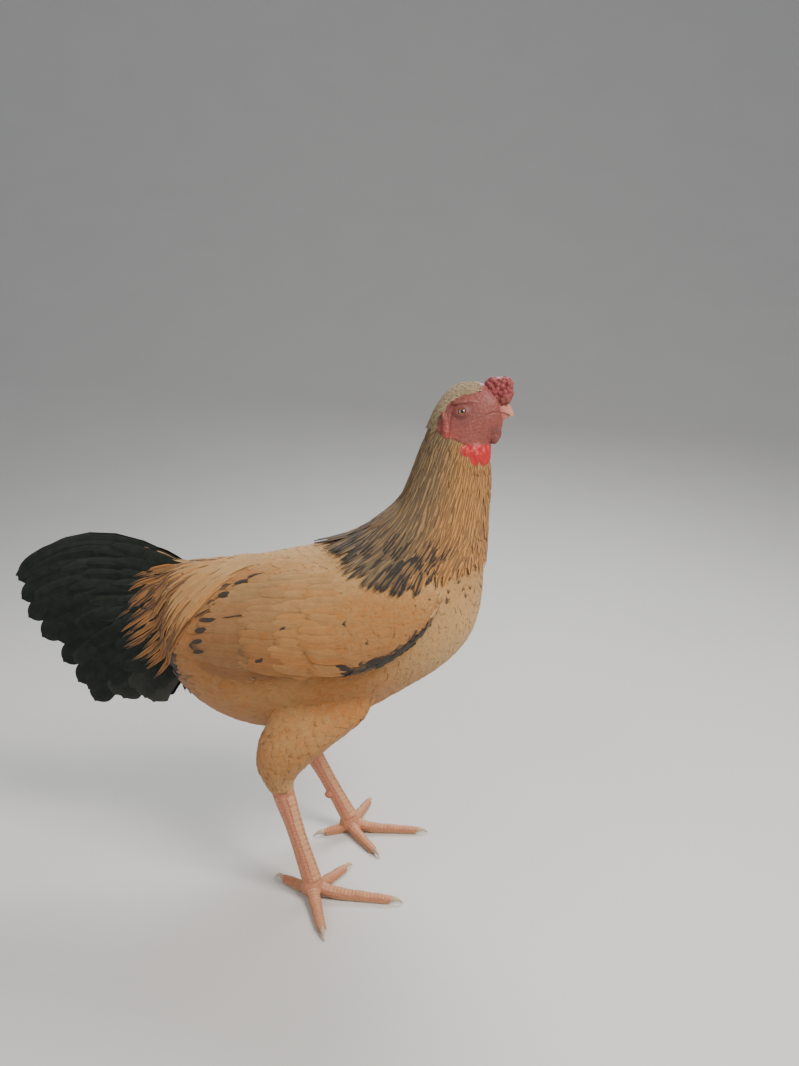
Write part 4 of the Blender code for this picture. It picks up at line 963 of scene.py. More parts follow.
def make_coverts(coat, side, draw):
    """Small coverts scattered like tiles over the arm, smallest along its front edge."""
    places = coat_ground.points[coat_ground.points[:, 1] * side > WING_INSIDE]
    places = places + draw.normal(0, COVERT_STRAY, places.shape)
    places = places[[on_arm(p) and p[0] > COVERT_SIZES[0][0] for p in places]]
    size = np.interp(places[:, 0], *zip(*COVERT_SIZES))
    chosen = scattered(draw, places, size * COVERT_SPACING)
    places, size = places[chosen], size[chosen]
    count = len(places)
    low = np.array([arm_row(x)[0] for x in places[:, 0]])
    edge = 1 - step_up(places[:, 2] - low, 0.003, 0.011)
    heading = np.stack([np.full(count, -1.0), np.zeros(count),
                        -0.16 - 0.75 * step_up(places[:, 0], 0.085, 0.14) * (1 - edge)], 1)
    heading = unit(heading + draw.normal(0, 0.06, heading.shape))
    lifts = COVERT_RISES[None] + draw.uniform(0, 0.0004, (count, 1))
    paths, normals, across = laid(coat_ground, places, heading, size, STATIONS, lifts)
    lot = draw.random(count)
    warm = np.clip(0.80 - 0.62 * step_up(places[:, 2], 0.360, 0.40) + (lot - 0.5) * 0.28, 0, 1)
    x = places[:, 0]
    black = edge * 0.92 * (x < BLACK_EDGE_FRONT) * (x > BLACK_EDGE_REAR)
    black = np.maximum(black, edge * 0.35 * (x >= BLACK_EDGE_FRONT))
    specks = 0.9 * (draw.random(count) < 0.012)
    marks = np.stack([warm, np.clip(black * (lot < 0.9) + side_spots(places), 0, 1), specks, lot], 1)
    half = size * 0.30 * draw.uniform(0.9, 1.1, count)
    coat.add(paths, normals, across, half[:, None] * ROUND_WEB, marks, homes_of(places), thick=0.0004,
             camber=0.16, tilt=draw.normal(0, 0.06, (count, 1)), point=1.0)


def make_black_edge(coat, side, draw):
    """The line of narrow black feathers along the arm's front and low edge."""
    roots = []
    for k in range(EDGE_FEATHERS):
        x = between(*EDGE_SPAN, (k / (EDGE_FEATHERS - 1)) ** 0.9)
        roots.append(coat_ground.beside(x, arm_row(x)[0] + draw.uniform(0.0010, 0.0042), side)[0])
    roots = np.array(roots)
    count = len(roots)
    slope = np.gradient(roots[:, 2]) / np.gradient(roots[:, 0])
    heading = unit(np.stack([-np.ones(count), np.zeros(count), -slope * 0.9], 1))
    heading = unit(heading + draw.normal(0, 0.05, heading.shape))
    size = np.interp(roots[:, 0], *zip(*EDGE_SIZES)) * draw.uniform(0.9, 1.1, count)
    lifts = EDGE_RISES[None] + draw.uniform(0, 0.0004, (count, 1))
    paths, normals, across = laid(coat_ground, roots, heading, size, STATIONS, lifts)
    lot = draw.random(count)
    dark = 0.97 * step_up(-roots[:, 0], -0.142, -0.130)
    marks = np.stack([np.full(count, 0.6), dark * (0.8 + 0.2 * (lot > 0.15)), np.zeros(count), lot], 1)
    coat.add(paths, normals, across, (size * 0.19)[:, None] * ROUND_WEB, marks, homes_of(roots),
             thick=0.0004, camber=0.16, point=1.3)


for label, side in SIDES:
    draw = np.random.default_rng(SEED + 7)
    wing = Feathers()
    make_flights(wing, side, draw)
    make_coverts(wing, side, draw)
    make_black_edge(wing, side, draw)
    make_dark_feathers(wing, side, draw)
    seat(wing.piece("wing_feathers_" + label, body_plumage), ("wing_" + label,))


# Tail
# A roof of long black feathers with a green gloss, open underneath: it fans from the rump and droops in a
# round. Coverts lie over the roots in tiers, and narrow curved sickles run along the top.
TAIL_TOP_ROOT = Vector((-0.160, 0, 0.372))
TAIL_LOW_ROOT = Vector((-0.172, 0, 0.262))
TAIL_ROWS = (
    # feather tip x and z, and how far the feather bows back and up on its way there
    (-0.404, 0.362, -0.022, 0.096),
    (-0.401, 0.338, -0.020, 0.072),
    (-0.386, 0.312, -0.020, 0.056),
    (-0.362, 0.280, -0.020, 0.042),
    (-0.332, 0.246, -0.020, 0.030),
    (-0.308, 0.207, -0.020, 0.020),
    (-0.262, 0.212, -0.016, 0.010),
    (-0.216, 0.206, -0.012, 0.000),
)
TAIL_SPREAD = 0.030
TAIL_RIDGE = 0.0022
TAIL_STATIONS = np.array(
    (0.0, 0.12, 0.26, 0.40, 0.54, 0.68, 0.80, 0.875, 0.915, 0.945, 0.967, 0.982, 0.992, 0.998)
)
TAIL_WEB = np.array((0.35, 0.64, 0.84, 0.95, 1.0, 1.0, 1.0, 1.0, 0.98, 0.89, 0.75, 0.58, 0.40, 0.18))
SICKLE_WEB = np.array((0.40, 0.66, 0.86, 0.96, 1.0, 0.98, 0.90, 0.77, 0.67, 0.56, 0.44, 0.34, 0.22, 0.10))
COVERT_STATIONS = np.array((0.0, 0.16, 0.34, 0.52, 0.68, 0.80, 0.89, 0.95, 0.985))
COVERT_WEB = np.array((0.40, 0.74, 0.94, 1.0, 0.98, 0.88, 0.70, 0.46, 0.22))
GREEN_BLACK = (0.0040, 0.0062, 0.0046, 1.0)
SLATE = (0.045, 0.042, 0.036, 1.0)
TAIL_TIERS = (
    # first and last fan, feathers, share at the root and at the tip, half width, web, lift at the tip
    (0.06, 0.97, 9, 0.05, 1.00, 0.0165, TAIL_WEB, 0.0002),
    (0.11, 0.92, 8, 0.05, 0.93, 0.0160, TAIL_WEB, 0.0012),
    (0.08, 0.95, 11, 0.03, 0.74, 0.0125, COVERT_WEB, 0.0022),
    (0.06, 0.90, 12, 0.02, 0.56, 0.0110, COVERT_WEB, 0.0030),
    (0.05, 0.86, 12, 0.01, 0.40, 0.0100, COVERT_WEB, 0.0038),
    (0.05, 0.80, 11, 0.00, 0.26, 0.0092, COVERT_WEB, 0.0044),
    (-0.01, 0.06, 3, 0.02, 1.00, 0.0075, SICKLE_WEB, 0.0022),
)
TAIL_SINK = -0.0012
TAIL_REACH = 0.9


def tail_place(fan, share, side, lift=0.0):
    """A place on the tail: fan runs from 0 on top to 1 at its low edge, share from 0 at the root to 1."""
    tip_x, tip_z, bow_x, bow_z = eased(TAIL_ROWS, max(0.0, min(1.0, fan)))
    root = TAIL_TOP_ROOT.lerp(TAIL_LOW_ROOT, fan)
    tip = Vector((tip_x, 0, tip_z + 0.010 * max(0.0, -fan) / 0.05))
    bow = (root + tip) / 2 + Vector((bow_x, 0, bow_z))
    place = root * (1 - share) ** 2 + bow * 2 * share * (1 - share) + tip * share ** 2
    spread = TAIL_SPREAD * math.sin(math.pi * max(0.0, min(1.0, fan * 0.62 + 0.02)))
    spread *= 1 - 0.55 * max(0.0, share) ** 1.5
    return place + Vector((0, side * (TAIL_RIDGE + spread + lift), 0))


def tail_normal(fan, share, side):
    """Outward from the tail's web at this place."""
    down = tail_place(fan + 0.02, share, side) - tail_place(fan - 0.02, share, side)
    along = tail_place(fan, share + 0.02, side) - tail_place(fan, share - 0.02, side)
    out = down.cross(along).normalized()
    return out if out.y * side > 0 else -out


draw = np.random.default_rng(SEED + 3)
tail = Feathers()
for side in (-1, 1):
    def on_tail(share, fan, lift):
        return tail_place(fan, share, side, lift), tail_normal(fan, share, side)

    for top, bottom, count, root, tip, wide, web, lift in TAIL_TIERS:
        stations = COVERT_STATIONS if web is COVERT_WEB else TAIL_STATIONS
        long_feather = tip > TAIL_REACH
        stray = 0.12 if long_feather else 0.34
        starts, ends, lifts, marks = [], [], [], []
        for k in range(count):
            fan = between(top, bottom, (k + draw.uniform(-stray, stray)) / (count - 1))
            end = tip * (draw.uniform(0.97, 1.0) if long_feather else draw.uniform(0.92, 1.08))
            starts.append((root, between(fan, 0.5, 0.06)))
            ends.append((min(1.0, end), fan))
            rise = lift + 0.0005 * (k % 2) + draw.uniform(0, 0.0004)
            lifts.append(between(TAIL_SINK, rise, np.minimum(1.0, stations * 1.4)))
            lot = draw.random()
            grey = 0.06 + 0.12 * lot + 0.55 * lot * step_up(fan, 0.72, 0.92)
            marks.append((grey, 0.0, 0.0, lot))
        widths = np.full(count, wide) * draw.uniform(0.94, 1.06, count)
        paths, normals, across = strung(on_tail, starts, ends, stations, lifts)
        outward = np.where((normals[..., 1:2] * side) < 0, -1.0, 1.0)
        tail.add(paths, normals * outward, across * outward, widths[:, None] * web, np.array(marks),
                 homes_of(paths[:, 0]), thick=0.0009, camber=0.16, tilt=np.full((count, 1), 0.05 * side),
                 fine=True)
tail_plumage = plumage("tail_plumage", GREEN_BLACK, SLATE, SOOT, barb_count=70.0, gloss=0.40, sheen=0.0,
                       edge_light=0.40, ior=1.25, gleam=(0.86, 1.0, 0.90, 1.0))
seat(tail.piece("tail_feathers", tail_plumage), ("tail",))

# The tail's down
# Short dark down that fills the root of the fan, so that no light comes through between its vanes.
DOWN_REACH = 0.86
DOWN_STEPS = 8
DOWN_FANS = [0.03 + 0.92 * j / 15 for j in range(16)]
DOWN_UNDER = -0.0012
DOWN_INSIDE, DOWN_THINNING = -0.0042, 0.0018
DOWN_BLACK = (0.010, 0.010, 0.009, 1.0)
DOWN_GREY = (0.030, 0.028, 0.024, 1.0)
down_shape = bmesh.new()
for side in (-1, 1):
    rings = []
    for k in range(DOWN_STEPS + 1):
        share = DOWN_REACH * k / DOWN_STEPS
        inner = DOWN_INSIDE + DOWN_THINNING * k / DOWN_STEPS
        rings.append([tail_place(fan, share, side, DOWN_UNDER) for fan in DOWN_FANS]
                     + [tail_place(fan, share, side, inner) for fan in DOWN_FANS[::-1]])
    add_loft(down_shape, rings)
tail_down = new_piece("tail_down", down_shape)
dark_down = Finish("dark_down", roughness=0.9)
fluff = dark_down.noise(dark_down.place(), 300.0)
dark_down.wear(base_color=dark_down.mix(DOWN_BLACK, DOWN_GREY, fluff))
tail_down.data.materials.append(dark_down.made)
seat(tail_down, ())


# Saddle
# Long drooping feathers like the hackle's. They grow across the back before the tail and fall over both
# sides of the rump and the wing ends, orange with dark shafts and mostly dark tips. The front tiers are
# plain, as the back's own feathers are.
SADDLE_ROWS = (
    # x, lowest z on the side, thickness
    (-0.085, 0.372, 0.0012),
    (-0.115, 0.356, 0.0024),
    (-0.145, 0.330, 0.0034),
    (-0.175, 0.296, 0.0040),
    (-0.205, 0.255, 0.0044),
    (-0.228, 0.245, 0.0040),
    (-0.252, 0.250, 0.0036),
)
SADDLE_MIDDLE = 0.060
RIDGE_TOP = 0.390
BACK_TIERS = (3, 4, 5)
ORANGE = (0.27, 0.105, 0.022, 1.0)
PALE_SADDLE = (0.40, 0.23, 0.088, 1.0)
SADDLE_TIERS = (
    # feathers a side, first and last root (x, v), first and last tip (x, v), half width, lift at the tip
    (18, (-0.150, 0.08), (-0.144, 0.92), (-0.240, 0.22), (-0.211, 0.98), 0.0040, 0.0004),
    (18, (-0.136, 0.06), (-0.130, 0.88), (-0.224, 0.20), (-0.198, 0.95), 0.0040, 0.0008),
    (17, (-0.120, 0.05), (-0.114, 0.84), (-0.204, 0.16), (-0.182, 0.92), 0.0040, 0.0012),
    (15, (-0.102, 0.05), (-0.096, 0.78), (-0.182, 0.16), (-0.160, 0.90), 0.0040, 0.0016),
    (14, (-0.084, 0.05), (-0.078, 0.72), (-0.156, 0.13), (-0.138, 0.83), 0.0040, 0.0020),
    (13, (-0.066, 0.05), (-0.060, 0.64), (-0.130, 0.11), (-0.116, 0.74), 0.0042, 0.0020),
    (2, (-0.146, 0.00), (-0.146, 0.07), (-0.228, 0.00), (-0.218, 0.06), 0.0030, 0.0010),
)
SADDLE_SINK, SADDLE_SETTLE = -0.0040, 0.0014
SADDLE_OVER_TAIL = 0.002
SADDLE_DROOPS = (0.030, 0.012)

rump_shape = bmesh.new()
add_loft(rump_shape, oval_rings(TRUNK, TRUNK_STEPS))
for _, side in SIDES:
    add_arm(rump_shape, trunk_ground, side)
add_loft(rump_shape, [
    [tail_place(fan, DOWN_REACH * k / DOWN_STEPS, side, SADDLE_OVER_TAIL)
     for side, fans in ((-1, DOWN_FANS), (1, DOWN_FANS[::-1])) for fan in fans]
    for k in range(DOWN_STEPS + 1)
])
rump = melted(new_piece("rump", rump_shape), SKIN_GRAIN, 2)
rump_ground = Ground(rump.data)
bpy.data.objects.remove(rump)


def saddle_point(x, v, side, lift):
    """A place on the saddle: v 0 on the ridge of the back and 1 at its low edge."""
    share = (SADDLE_ROWS[0][0] - x) / (SADDLE_ROWS[0][0] - SADDLE_ROWS[-1][0])
    low, thick = eased([row[1:] for row in SADDLE_ROWS], max(0.0, min(1.0, share)))
    top = rump_ground.toward(Vector((x, 0, 0.28)), Vector((x, 0, 0.5)))[0].z
    middle = max(low, min(top, RIDGE_TOP) - SADDLE_MIDDLE)
    origin = Vector((x, 0, between(middle, low, max(0.0, v * 1.6 - 0.6))))
    lean = min(v, 1.0) * math.pi / 2
    place, normal = rump_ground.toward(origin, origin + Vector((0, side * math.sin(lean), math.cos(lean))))
    return place + normal * (thick + lift), normal


draw = np.random.default_rng(SEED + 4)
saddle, lower_back = Feathers(), Feathers()
for side in (-1, 1):
    def on_saddle(x, v, lift):
        return saddle_point(x, v, side, lift)

    for tier, (count, first_root, last_root, first_tip, last_tip, wide, lift) in enumerate(SADDLE_TIERS):
        rear = max(0.0, 1 - tier / 6)
        dark = step_up(rear, 0.5, 0.8)
        starts, ends, lifts, marks = [], [], [], []
        for k in range(count):
            t = float(np.clip((k + draw.uniform(-0.3, 0.3)) / (count - 1), 0, 1))
            droop = between(*SADDLE_DROOPS, tier / 5) * 4 * t * (1 - t) + draw.uniform(-0.012, 0.008)
            starts.append((between(first_root[0], last_root[0], t),
                           between(first_root[1], last_root[1], t ** 1.3)))
            ends.append((between(first_tip[0], last_tip[0], t) - droop,
                         between(first_tip[1], last_tip[1], t ** 0.6) + draw.normal(0, 0.015)))
            top = lift - SADDLE_SETTLE + draw.uniform(0, 0.0008)
            lifts.append(between(SADDLE_SINK, top, np.minimum(1.0, HACKLE_STATIONS * 1.6)))
            lot = draw.random()
            warm = np.clip(0.22 + 0.75 * rear + (lot - 0.5) * 0.4, 0, 1)
            dark_tip = (0.35 + 0.65 * (draw.random() < 0.80)) * dark
            marks.append((warm, 0.22 * (lot > 0.5) * dark, dark_tip, lot))
        widths = np.full(count, wide) * draw.uniform(0.88, 1.12, count)
        paths, normals, across = strung(on_saddle, starts, ends, HACKLE_STATIONS, lifts, bow=-0.05)
        coat = lower_back if tier in BACK_TIERS else saddle
        coat.add(paths, normals, across, widths[:, None] * LANCE_WEB, np.array(marks),
                 homes_of(paths[:, 0]), thick=0.0007, camber=0.30, tilt=draw.normal(0, 0.08, (count, 1)),
                 fine=True)
saddle_plumage = plumage("saddle_plumage", PALE_SADDLE, ORANGE, SOOT, barb_count=60.0, streak=0.66,
                         edge_light=0.30)
seat(saddle.piece("saddle_feathers", saddle_plumage), ("saddle",))
seat(lower_back.piece("lower_back_feathers", body_plumage), ())


# Head
# Bare warty skin from the beak to the ears: heavy brows over sunk eyes, ringed lids, ear lobes, short
# wattles, a pleated dewlap painted bright red as if lit through from behind, and a tall pea comb of three
# fused rows. It is one melted surface.
HEAD_GRAIN = 0.00075
HEAD_POLE = Vector((0.206, 0, 0.574))
SKULL_STEPS, SKULL_POINTS = 24, 56
EYE_SPOT = (0.1600, 0.5690)
EYE_RADIUS = 0.0066
EYE_SINK = 0.0040
LIDS = (
    # the two rings of skin round an eye: how far out, half length, half height, thickness
    (0.0012, 0.0056, 0.0047, 0.0013),
    (0.0000, 0.0080, 0.0068, 0.0012),
)
LID_STEPS, LID_POINTS = 36, 8
MOUTH_Z = 0.5685
LUMPS = (
    # middle (x, distance from the middle plane, z), half size, pitch in radians
    # those off the middle plane are paired
    ((0.1760, 0.0160, 0.5795), (0.0125, 0.0050, 0.0042), 0.24),
    ((0.1675, 0.0184, 0.5803), (0.0120, 0.0052, 0.0040), 0.10),
    ((0.1590, 0.0203, 0.5795), (0.0105, 0.0046, 0.0036), -0.10),
    ((0.1720, 0.0165, 0.5560), (0.0150, 0.0065, 0.0100), 0.25),
    ((0.1530, 0.0200, 0.5510), (0.0120, 0.0060, 0.0110), 0.10),
    ((0.1860, 0.0125, 0.5680), (0.0090, 0.0050, 0.0062), 0.10),
    ((0.1430, 0.0235, 0.5440), (0.0060, 0.0046, 0.0125), -0.15),
    ((0.1475, 0.0245, 0.5385), (0.0065, 0.0042, 0.0085), -0.25),
    ((0.1405, 0.0225, 0.5600), (0.0030, 0.0046, 0.0105), -0.20),
    ((0.1985, 0.0072, 0.5470), (0.0070, 0.0040, 0.0110), -0.10),
    ((0.1965, 0.0086, 0.5400), (0.0062, 0.0034, 0.0075), -0.05),
    ((0.1720, 0.0000, 0.5280), (0.0210, 0.0280, 0.0150), 0.20),
    ((0.1900, 0.0000, 0.5250), (0.0035, 0.0050, 0.0110), 0.05),
    ((0.1885, 0.0100, 0.5200), (0.0048, 0.0044, 0.0135), 0.06),
    ((0.1825, 0.0190, 0.5175), (0.0070, 0.0048, 0.0135), 0.08),
    ((0.1730, 0.0260, 0.5175), (0.0085, 0.0046, 0.0125), 0.12),
    ((0.1625, 0.0285, 0.5215), (0.0075, 0.0040, 0.0100), 0.15),
)
COMB_X = (0.1835, 0.2190)
COMB_FOOT = 0.5765
COMB_BLOCK = 0.55
COMB_CORE = 0.0016
COMB_RAYS = 1500
COMB_ROWS = (
    # how far from the middle plane, top, half width
    (0.0000, 0.6105, 0.0046),
    (0.0070, 0.6075, 0.0044),
    (-0.0070, 0.6085, 0.0044),
)
PEA_ROOM = 0.0047
PEA_RADII = (0.0019, 0.0036)
PEA_SINK = 0.80


def add_bulb(shape, middle, size, pitch=0.0, detail=3, square=1.0):
    """A rounded lump, or a blockier one where square is below 1."""
    made = bmesh.ops.create_icosphere(shape, subdivisions=detail, radius=1.0)["verts"]
    for vertex in made:
        vertex.co = Vector([math.copysign(abs(c) ** square, c) for c in vertex.co])
    placed = Matrix.Translation(middle) @ Matrix.Rotation(pitch, 4, "Y") @ Matrix.Diagonal((*size, 1.0))
    bmesh.ops.transform(shape, matrix=placed, verts=made)


def add_ring(shape, middle, normal, wide, high, tube):
    """A rounded ring of skin that stands round a place, wide by high."""
    along = (Vector((1, 0, 0)) - normal * normal.x).normalized()
    over = normal.cross(along)
    rows = []
    for a in round_turns(LID_STEPS):
        out = along * math.cos(a) * wide + over * math.sin(a) * high
        outward = out.normalized()
        rows.append([
            shape.verts.new(middle + out + outward * tube * math.cos(b) + normal * tube * math.sin(b))
            for b in round_turns(LID_POINTS)
        ])
    for row, after in zip(rows, rows[1:] + rows[:1]):
        for j in range(LID_POINTS):
            k = (j + 1) % LID_POINTS
            shape.faces.new((row[j], after[j], after[k], row[k]))


def add_comb(shape):
    """Three blocky rows fused side by side, the middle one highest, knobbed all over with uneven peas."""
    draw = np.random.default_rng(SEED + 11)
    for off, top, half_width in COMB_ROWS:
        middle = Vector((sum(COMB_X) / 2, off, (COMB_FOOT + top) / 2))
        size = np.array(((COMB_X[1] - COMB_X[0]) / 2, half_width, (top - COMB_FOOT) / 2))
        add_bulb(shape, middle, size - COMB_CORE, square=COMB_BLOCK)
        rays = unit(draw.normal(0, 1, (COMB_RAYS, 3)))
        places = size * np.sign(rays) * np.abs(rays) ** COMB_BLOCK
        for place in places[scattered(draw, places, np.full(len(places), PEA_ROOM))]:
            radius = draw.uniform(*PEA_RADII)
            pea = (radius, radius * 0.92, radius * 1.08)
            add_bulb(shape, middle + Vector(place * PEA_SINK), pea, detail=2)


head_shape = bmesh.new()
add_loft(head_shape, oval_rings(SKULL, SKULL_STEPS, SKULL_POINTS), HEAD_POLE)
bmesh.ops.recalc_face_normals(head_shape, faces=head_shape.faces)
skull_mesh = bpy.data.meshes.new("skull")
head_shape.to_mesh(skull_mesh)
skull_ground = Ground(skull_mesh)
bpy.data.meshes.remove(skull_mesh)
eye_places = {}
for label, side in SIDES:
    place, normal = skull_ground.beside(*EYE_SPOT, side)
    eye_places[label] = (place - normal * EYE_SINK, normal)
    for out, wide, high, tube in LIDS:
        add_ring(head_shape, place + normal * out, normal, wide, high, tube)
for (x, off, z), size, pitch in LUMPS:
    for y in {off, -off}:
        add_bulb(head_shape, Vector((x, y, z)), size, pitch)
add_comb(head_shape)
head = melted(new_piece("head_skin", head_shape), HEAD_GRAIN, 2)

# The skin's grain
# Small warts over the face, deeper pits between the comb's peas, pleats down the dewlap, and the line of
# the mouth running back from the beak: all pushed into the surface. The hollows between the warts, the
# mouth line and the ear fold are kept as a mark for painted shade in the colour.
FINE_WART, COARSE_WART = 0.0016, 0.0034
FINE_RISE, COARSE_RISE, COMB_RISE = 0.00022, 0.00042, 0.00045
LID_FOLD_RISE, PLEAT_RISE, CHEEK_LINE_RISE, LOBE_RISE = 0.00012, 0.00035, 0.00016, 0.0003
MOUTH_DEPTH, EAR_FOLD_DEPTH = 0.0011, 0.0008
head_mesh = head.data
head_places = vertex_rows(head_mesh, "co")
head_normals = vertex_rows(head_mesh, "normal")


def blob(places, x, z, wide, high):
    """A soft patch on both sides of the head, 1 at its middle."""
    apart = ((places[:, 0] - x) / wide) ** 2 + ((places[:, 2] - z) / high) ** 2
    return np.exp(-apart)


def warts(places, size):
    """Height from 0 to 1 of rounded warts of about this size."""
    return np.array([max(0.0, 1.0 - voronoi(Vector(p) / size)[0][0] * 1.5) for p in places])


hx, hy, hz = head_places.T
near_eye = np.minimum(*[
    np.linalg.norm(head_places - np.array(eye_places[label][0]), axis=1) for label, _ in SIDES
])
off_eye = step_up(near_eye, 0.0085, 0.0120)
on_comb = step_up(hz, 0.583, 0.588) * step_up(hx, 0.180, 0.186)
dewlap = step_up(0.5350 - hz, 0.0, 0.006) * step_up(hx, 0.150, 0.158)
lobe = blob(head_places, 0.1440, 0.5420, 0.0085, 0.0150) * step_up(np.abs(hy), 0.015, 0.020)
wattle = step_up(0.556 - hz, 0.0, 0.006) * step_up(hx, 0.191, 0.195)
fine = warts(head_places, FINE_WART)
coarse = warts(head_places + 0.5, COARSE_WART)
mouth_line = MOUTH_Z - 0.0040 * np.clip((0.200 - hx) / 0.014, 0, 1.3) ** 2
mouth = np.exp(-((hz - mouth_line) / 0.0008) ** 2) * step_up(hx, 0.1865, 0.1925)
mouth += 0.5 * blob(head_places, 0.1880, 0.5650, 0.0035, 0.0022)
fold_x = 0.1475 + 0.10 * (hz - 0.5600)
fold = np.exp(-((hx - fold_x) / 0.0011) ** 2) * step_up(hz, 0.536, 0.545) * (1 - step_up(hz, 0.566, 0.574))
cheek_lines = np.sin((hx * 0.5 - hz) * 2 * math.pi / 0.0042 + 3 * np.sin(hx * 260))
cheek_lines *= blob(head_places, 0.172, 0.555, 0.016, 0.014)
lid_folds = np.sin(near_eye * 2 * math.pi / 0.0019) * (1 - step_up(near_eye, 0.011, 0.0145)) * off_eye
pleats = np.sin((hx * 0.6 + np.abs(hy) * 0.9 + 0.1 * hz) * 2 * math.pi / 0.0044) * dewlap
height = FINE_RISE * fine * (0.35 + 0.65 * off_eye) + COARSE_RISE * coarse * off_eye * (1 - on_comb)
height += COMB_RISE * coarse * on_comb + LID_FOLD_RISE * lid_folds + PLEAT_RISE * pleats
height += LOBE_RISE * (coarse - 0.4) * lobe + CHEEK_LINE_RISE * cheek_lines
height -= MOUTH_DEPTH * mouth + EAR_FOLD_DEPTH * fold
head_mesh.vertices.foreach_set("co", (head_places + head_normals * height[:, None]).ravel())
# painted shade in the hollows: between the warts, along the mouth line and in the ear fold
pit_shade = np.clip(1.0 - (0.55 * fine + 0.55 * coarse) + mouth * 1.2 + fold * 0.8, 0, 1)
# painted light: the dewlap, and the ear lobes a little, brighter red as if back light shone through them
backlit_glow = np.clip(dewlap + 0.30 * lobe, 0, 1)
behind = 1 - step_up(hx, 0.138, 0.150)
# painted shade round the sunk eye, under the jaw and at the back of the face under the feathers; the comb a
# little duller
eye_shade = blob(head_places, 0.163, 0.569, 0.014, 0.012)
dusk_and_shade = np.clip(eye_shade + 0.7 * wattle + 0.3 * behind + 0.25 * on_comb, 0, 1)
give_marks(head_mesh, np.stack([backlit_glow, dusk_and_shade, on_comb, pit_shade], 1))

RED = (0.275, 0.070, 0.054, 1.0)
# painted glow of thin skin lit through from behind
BACKLIT_GLOW_RED = (0.55, 0.020, 0.022, 1.0)
# painted shade, and a duller red
SHADE_AND_DUSK_RED = (0.135, 0.046, 0.042, 1.0)
COMB_RED = (0.32, 0.052, 0.054, 1.0)
face = Finish("bare_red_skin", subsurface_weight=0.12, subsurface_radius=(0.004, 0.0015, 0.001), ior=1.4,
              coat_roughness=0.4)
backlit_glow_mark, dusk_and_shade_mark, comb_mark, hollow_shade = face.marks()
mottle = face.noise(face.place(), 160.0, 3.0)
web = face.mix(RED, COMB_RED, comb_mark)
# painted shade round the eye, under the jaw and at the back of the face, and a duller comb
web = face.mix(web, SHADE_AND_DUSK_RED, (dusk_and_shade_mark * 0.62 + (mottle - 0.5) * 0.5).clipped())
# painted light: brighter red where back light would shine through the dewlap and lobes
web = face.mix(web, BACKLIT_GLOW_RED, backlit_glow_mark)
# painted shade: darker in the hollows, with some random tone
web = face.shaded(web, 1.10 - hollow_shade * 0.42 + (face.noise(face.place(), 700.0, 1.0) - 0.5) * 0.25)
face.wear(base_color=web, roughness=0.50 + mottle * 0.16 - backlit_glow_mark * 0.08,
          coat_weight=0.10 + backlit_glow_mark * 0.10)
face.bumps(face.noise(face.place(), 1400.0), 0.30, 0.0002)
head_mesh.materials.append(face.made)
seat(head, ("head", "comb", "dewlap", "wattle_right", "wattle_left", "ear_lobe_right", "ear_lobe_left"))

# Eyes
# A wet ball sunk behind the lids, with a wide dark pupil in a deep amber iris rimmed in dark brown. Its
# marks carry each point's angle from the way it looks, in radians, and its turn round that way.
PUPIL_RIM = (0.33, 0.36)
IRIS_RIM = (0.60, 0.70)
EYE_TURN = Vector((0.18, 0, 0.02))
PUPIL_BLACK = (0.004, 0.003, 0.003, 1.0)
AMBER_DARK = (0.15, 0.055, 0.014, 1.0)
AMBER_LIGHT = (0.34, 0.15, 0.045, 1.0)
RIM_BROWN = (0.035, 0.016, 0.010, 1.0)
eye_finish = Finish("wet_eye", roughness=0.08, coat_weight=1.0, coat_roughness=0.02, ior=1.38)
off_axis, spoke, _, _ = eye_finish.marks()
fibres = eye_finish.noise(eye_finish.vector(spoke * 26.0, off_axis * 5.0), 1.0)
iris = eye_finish.mix(AMBER_DARK, AMBER_LIGHT, fibres)
ball = eye_finish.mix(PUPIL_BLACK, iris, off_axis.rising(*PUPIL_RIM))
eye_finish.wear(base_color=eye_finish.mix(ball, RIM_BROWN, off_axis.rising(*IRIS_RIM)))
for label, (middle, normal) in eye_places.items():
    ball_shape = bmesh.new()
    bmesh.ops.create_icosphere(ball_shape, subdivisions=5, radius=EYE_RADIUS)
    bmesh.ops.translate(ball_shape, vec=middle, verts=ball_shape.verts)
    eye = new_piece("eyeball_" + label, ball_shape)
    rays = unit(vertex_rows(eye.data, "co") - np.array(middle))
    axis = unit(np.array(normal + EYE_TURN))
    cosine = rays @ axis
    flat_x, flat_z = rays[:, 0] - cosine * axis[0], rays[:, 2] - cosine * axis[2]
    angle = np.arccos(np.clip(cosine, -1, 1))
    turned = np.abs(np.arctan2(flat_z, flat_x)) / math.pi
    give_marks(eye.data, np.stack([angle, turned, angle * 0, angle * 0 + 1], 1))
    eye.data.materials.append(eye_finish.made)
    seat(eye, ("eye_" + label,))

# Beak
# Short, thick and hooked, of pinkish horn: an upper half over a lower one, slit nostrils in its soft root.
BEAK_ROOT_X = 0.196
BEAK_TIP = Vector((0.2195, 0, 0.566))
BEAK_STEPS = 22
BEAK_POINTS = 20
BEAK_HALF_WIDTH = 0.0105
BEAK_TOP, BEAK_CHIN = 0.5895, 0.5560
BEAK_HOOK = 0.0030
LOWER_SHORTER, LOWER_NARROWER = 0.0042, 0.93
LIP_GAP = 0.0003
NOSTRIL = ((0.2055, 0.0092, 0.5765), (0.0024, 0.0022, 0.0009), -0.35)
HORN_RED = (0.38, 0.085, 0.068, 1.0)
HORN_PINK = (0.48, 0.215, 0.150, 1.0)
horn = Finish("beak_horn", ior=1.5, subsurface_weight=0.08, subsurface_radius=(0.003, 0.0015, 0.001))
beak_x, beak_y, beak_z = horn.parts(horn.place())
to_tip = beak_x.rising(0.2920, 0.3110)
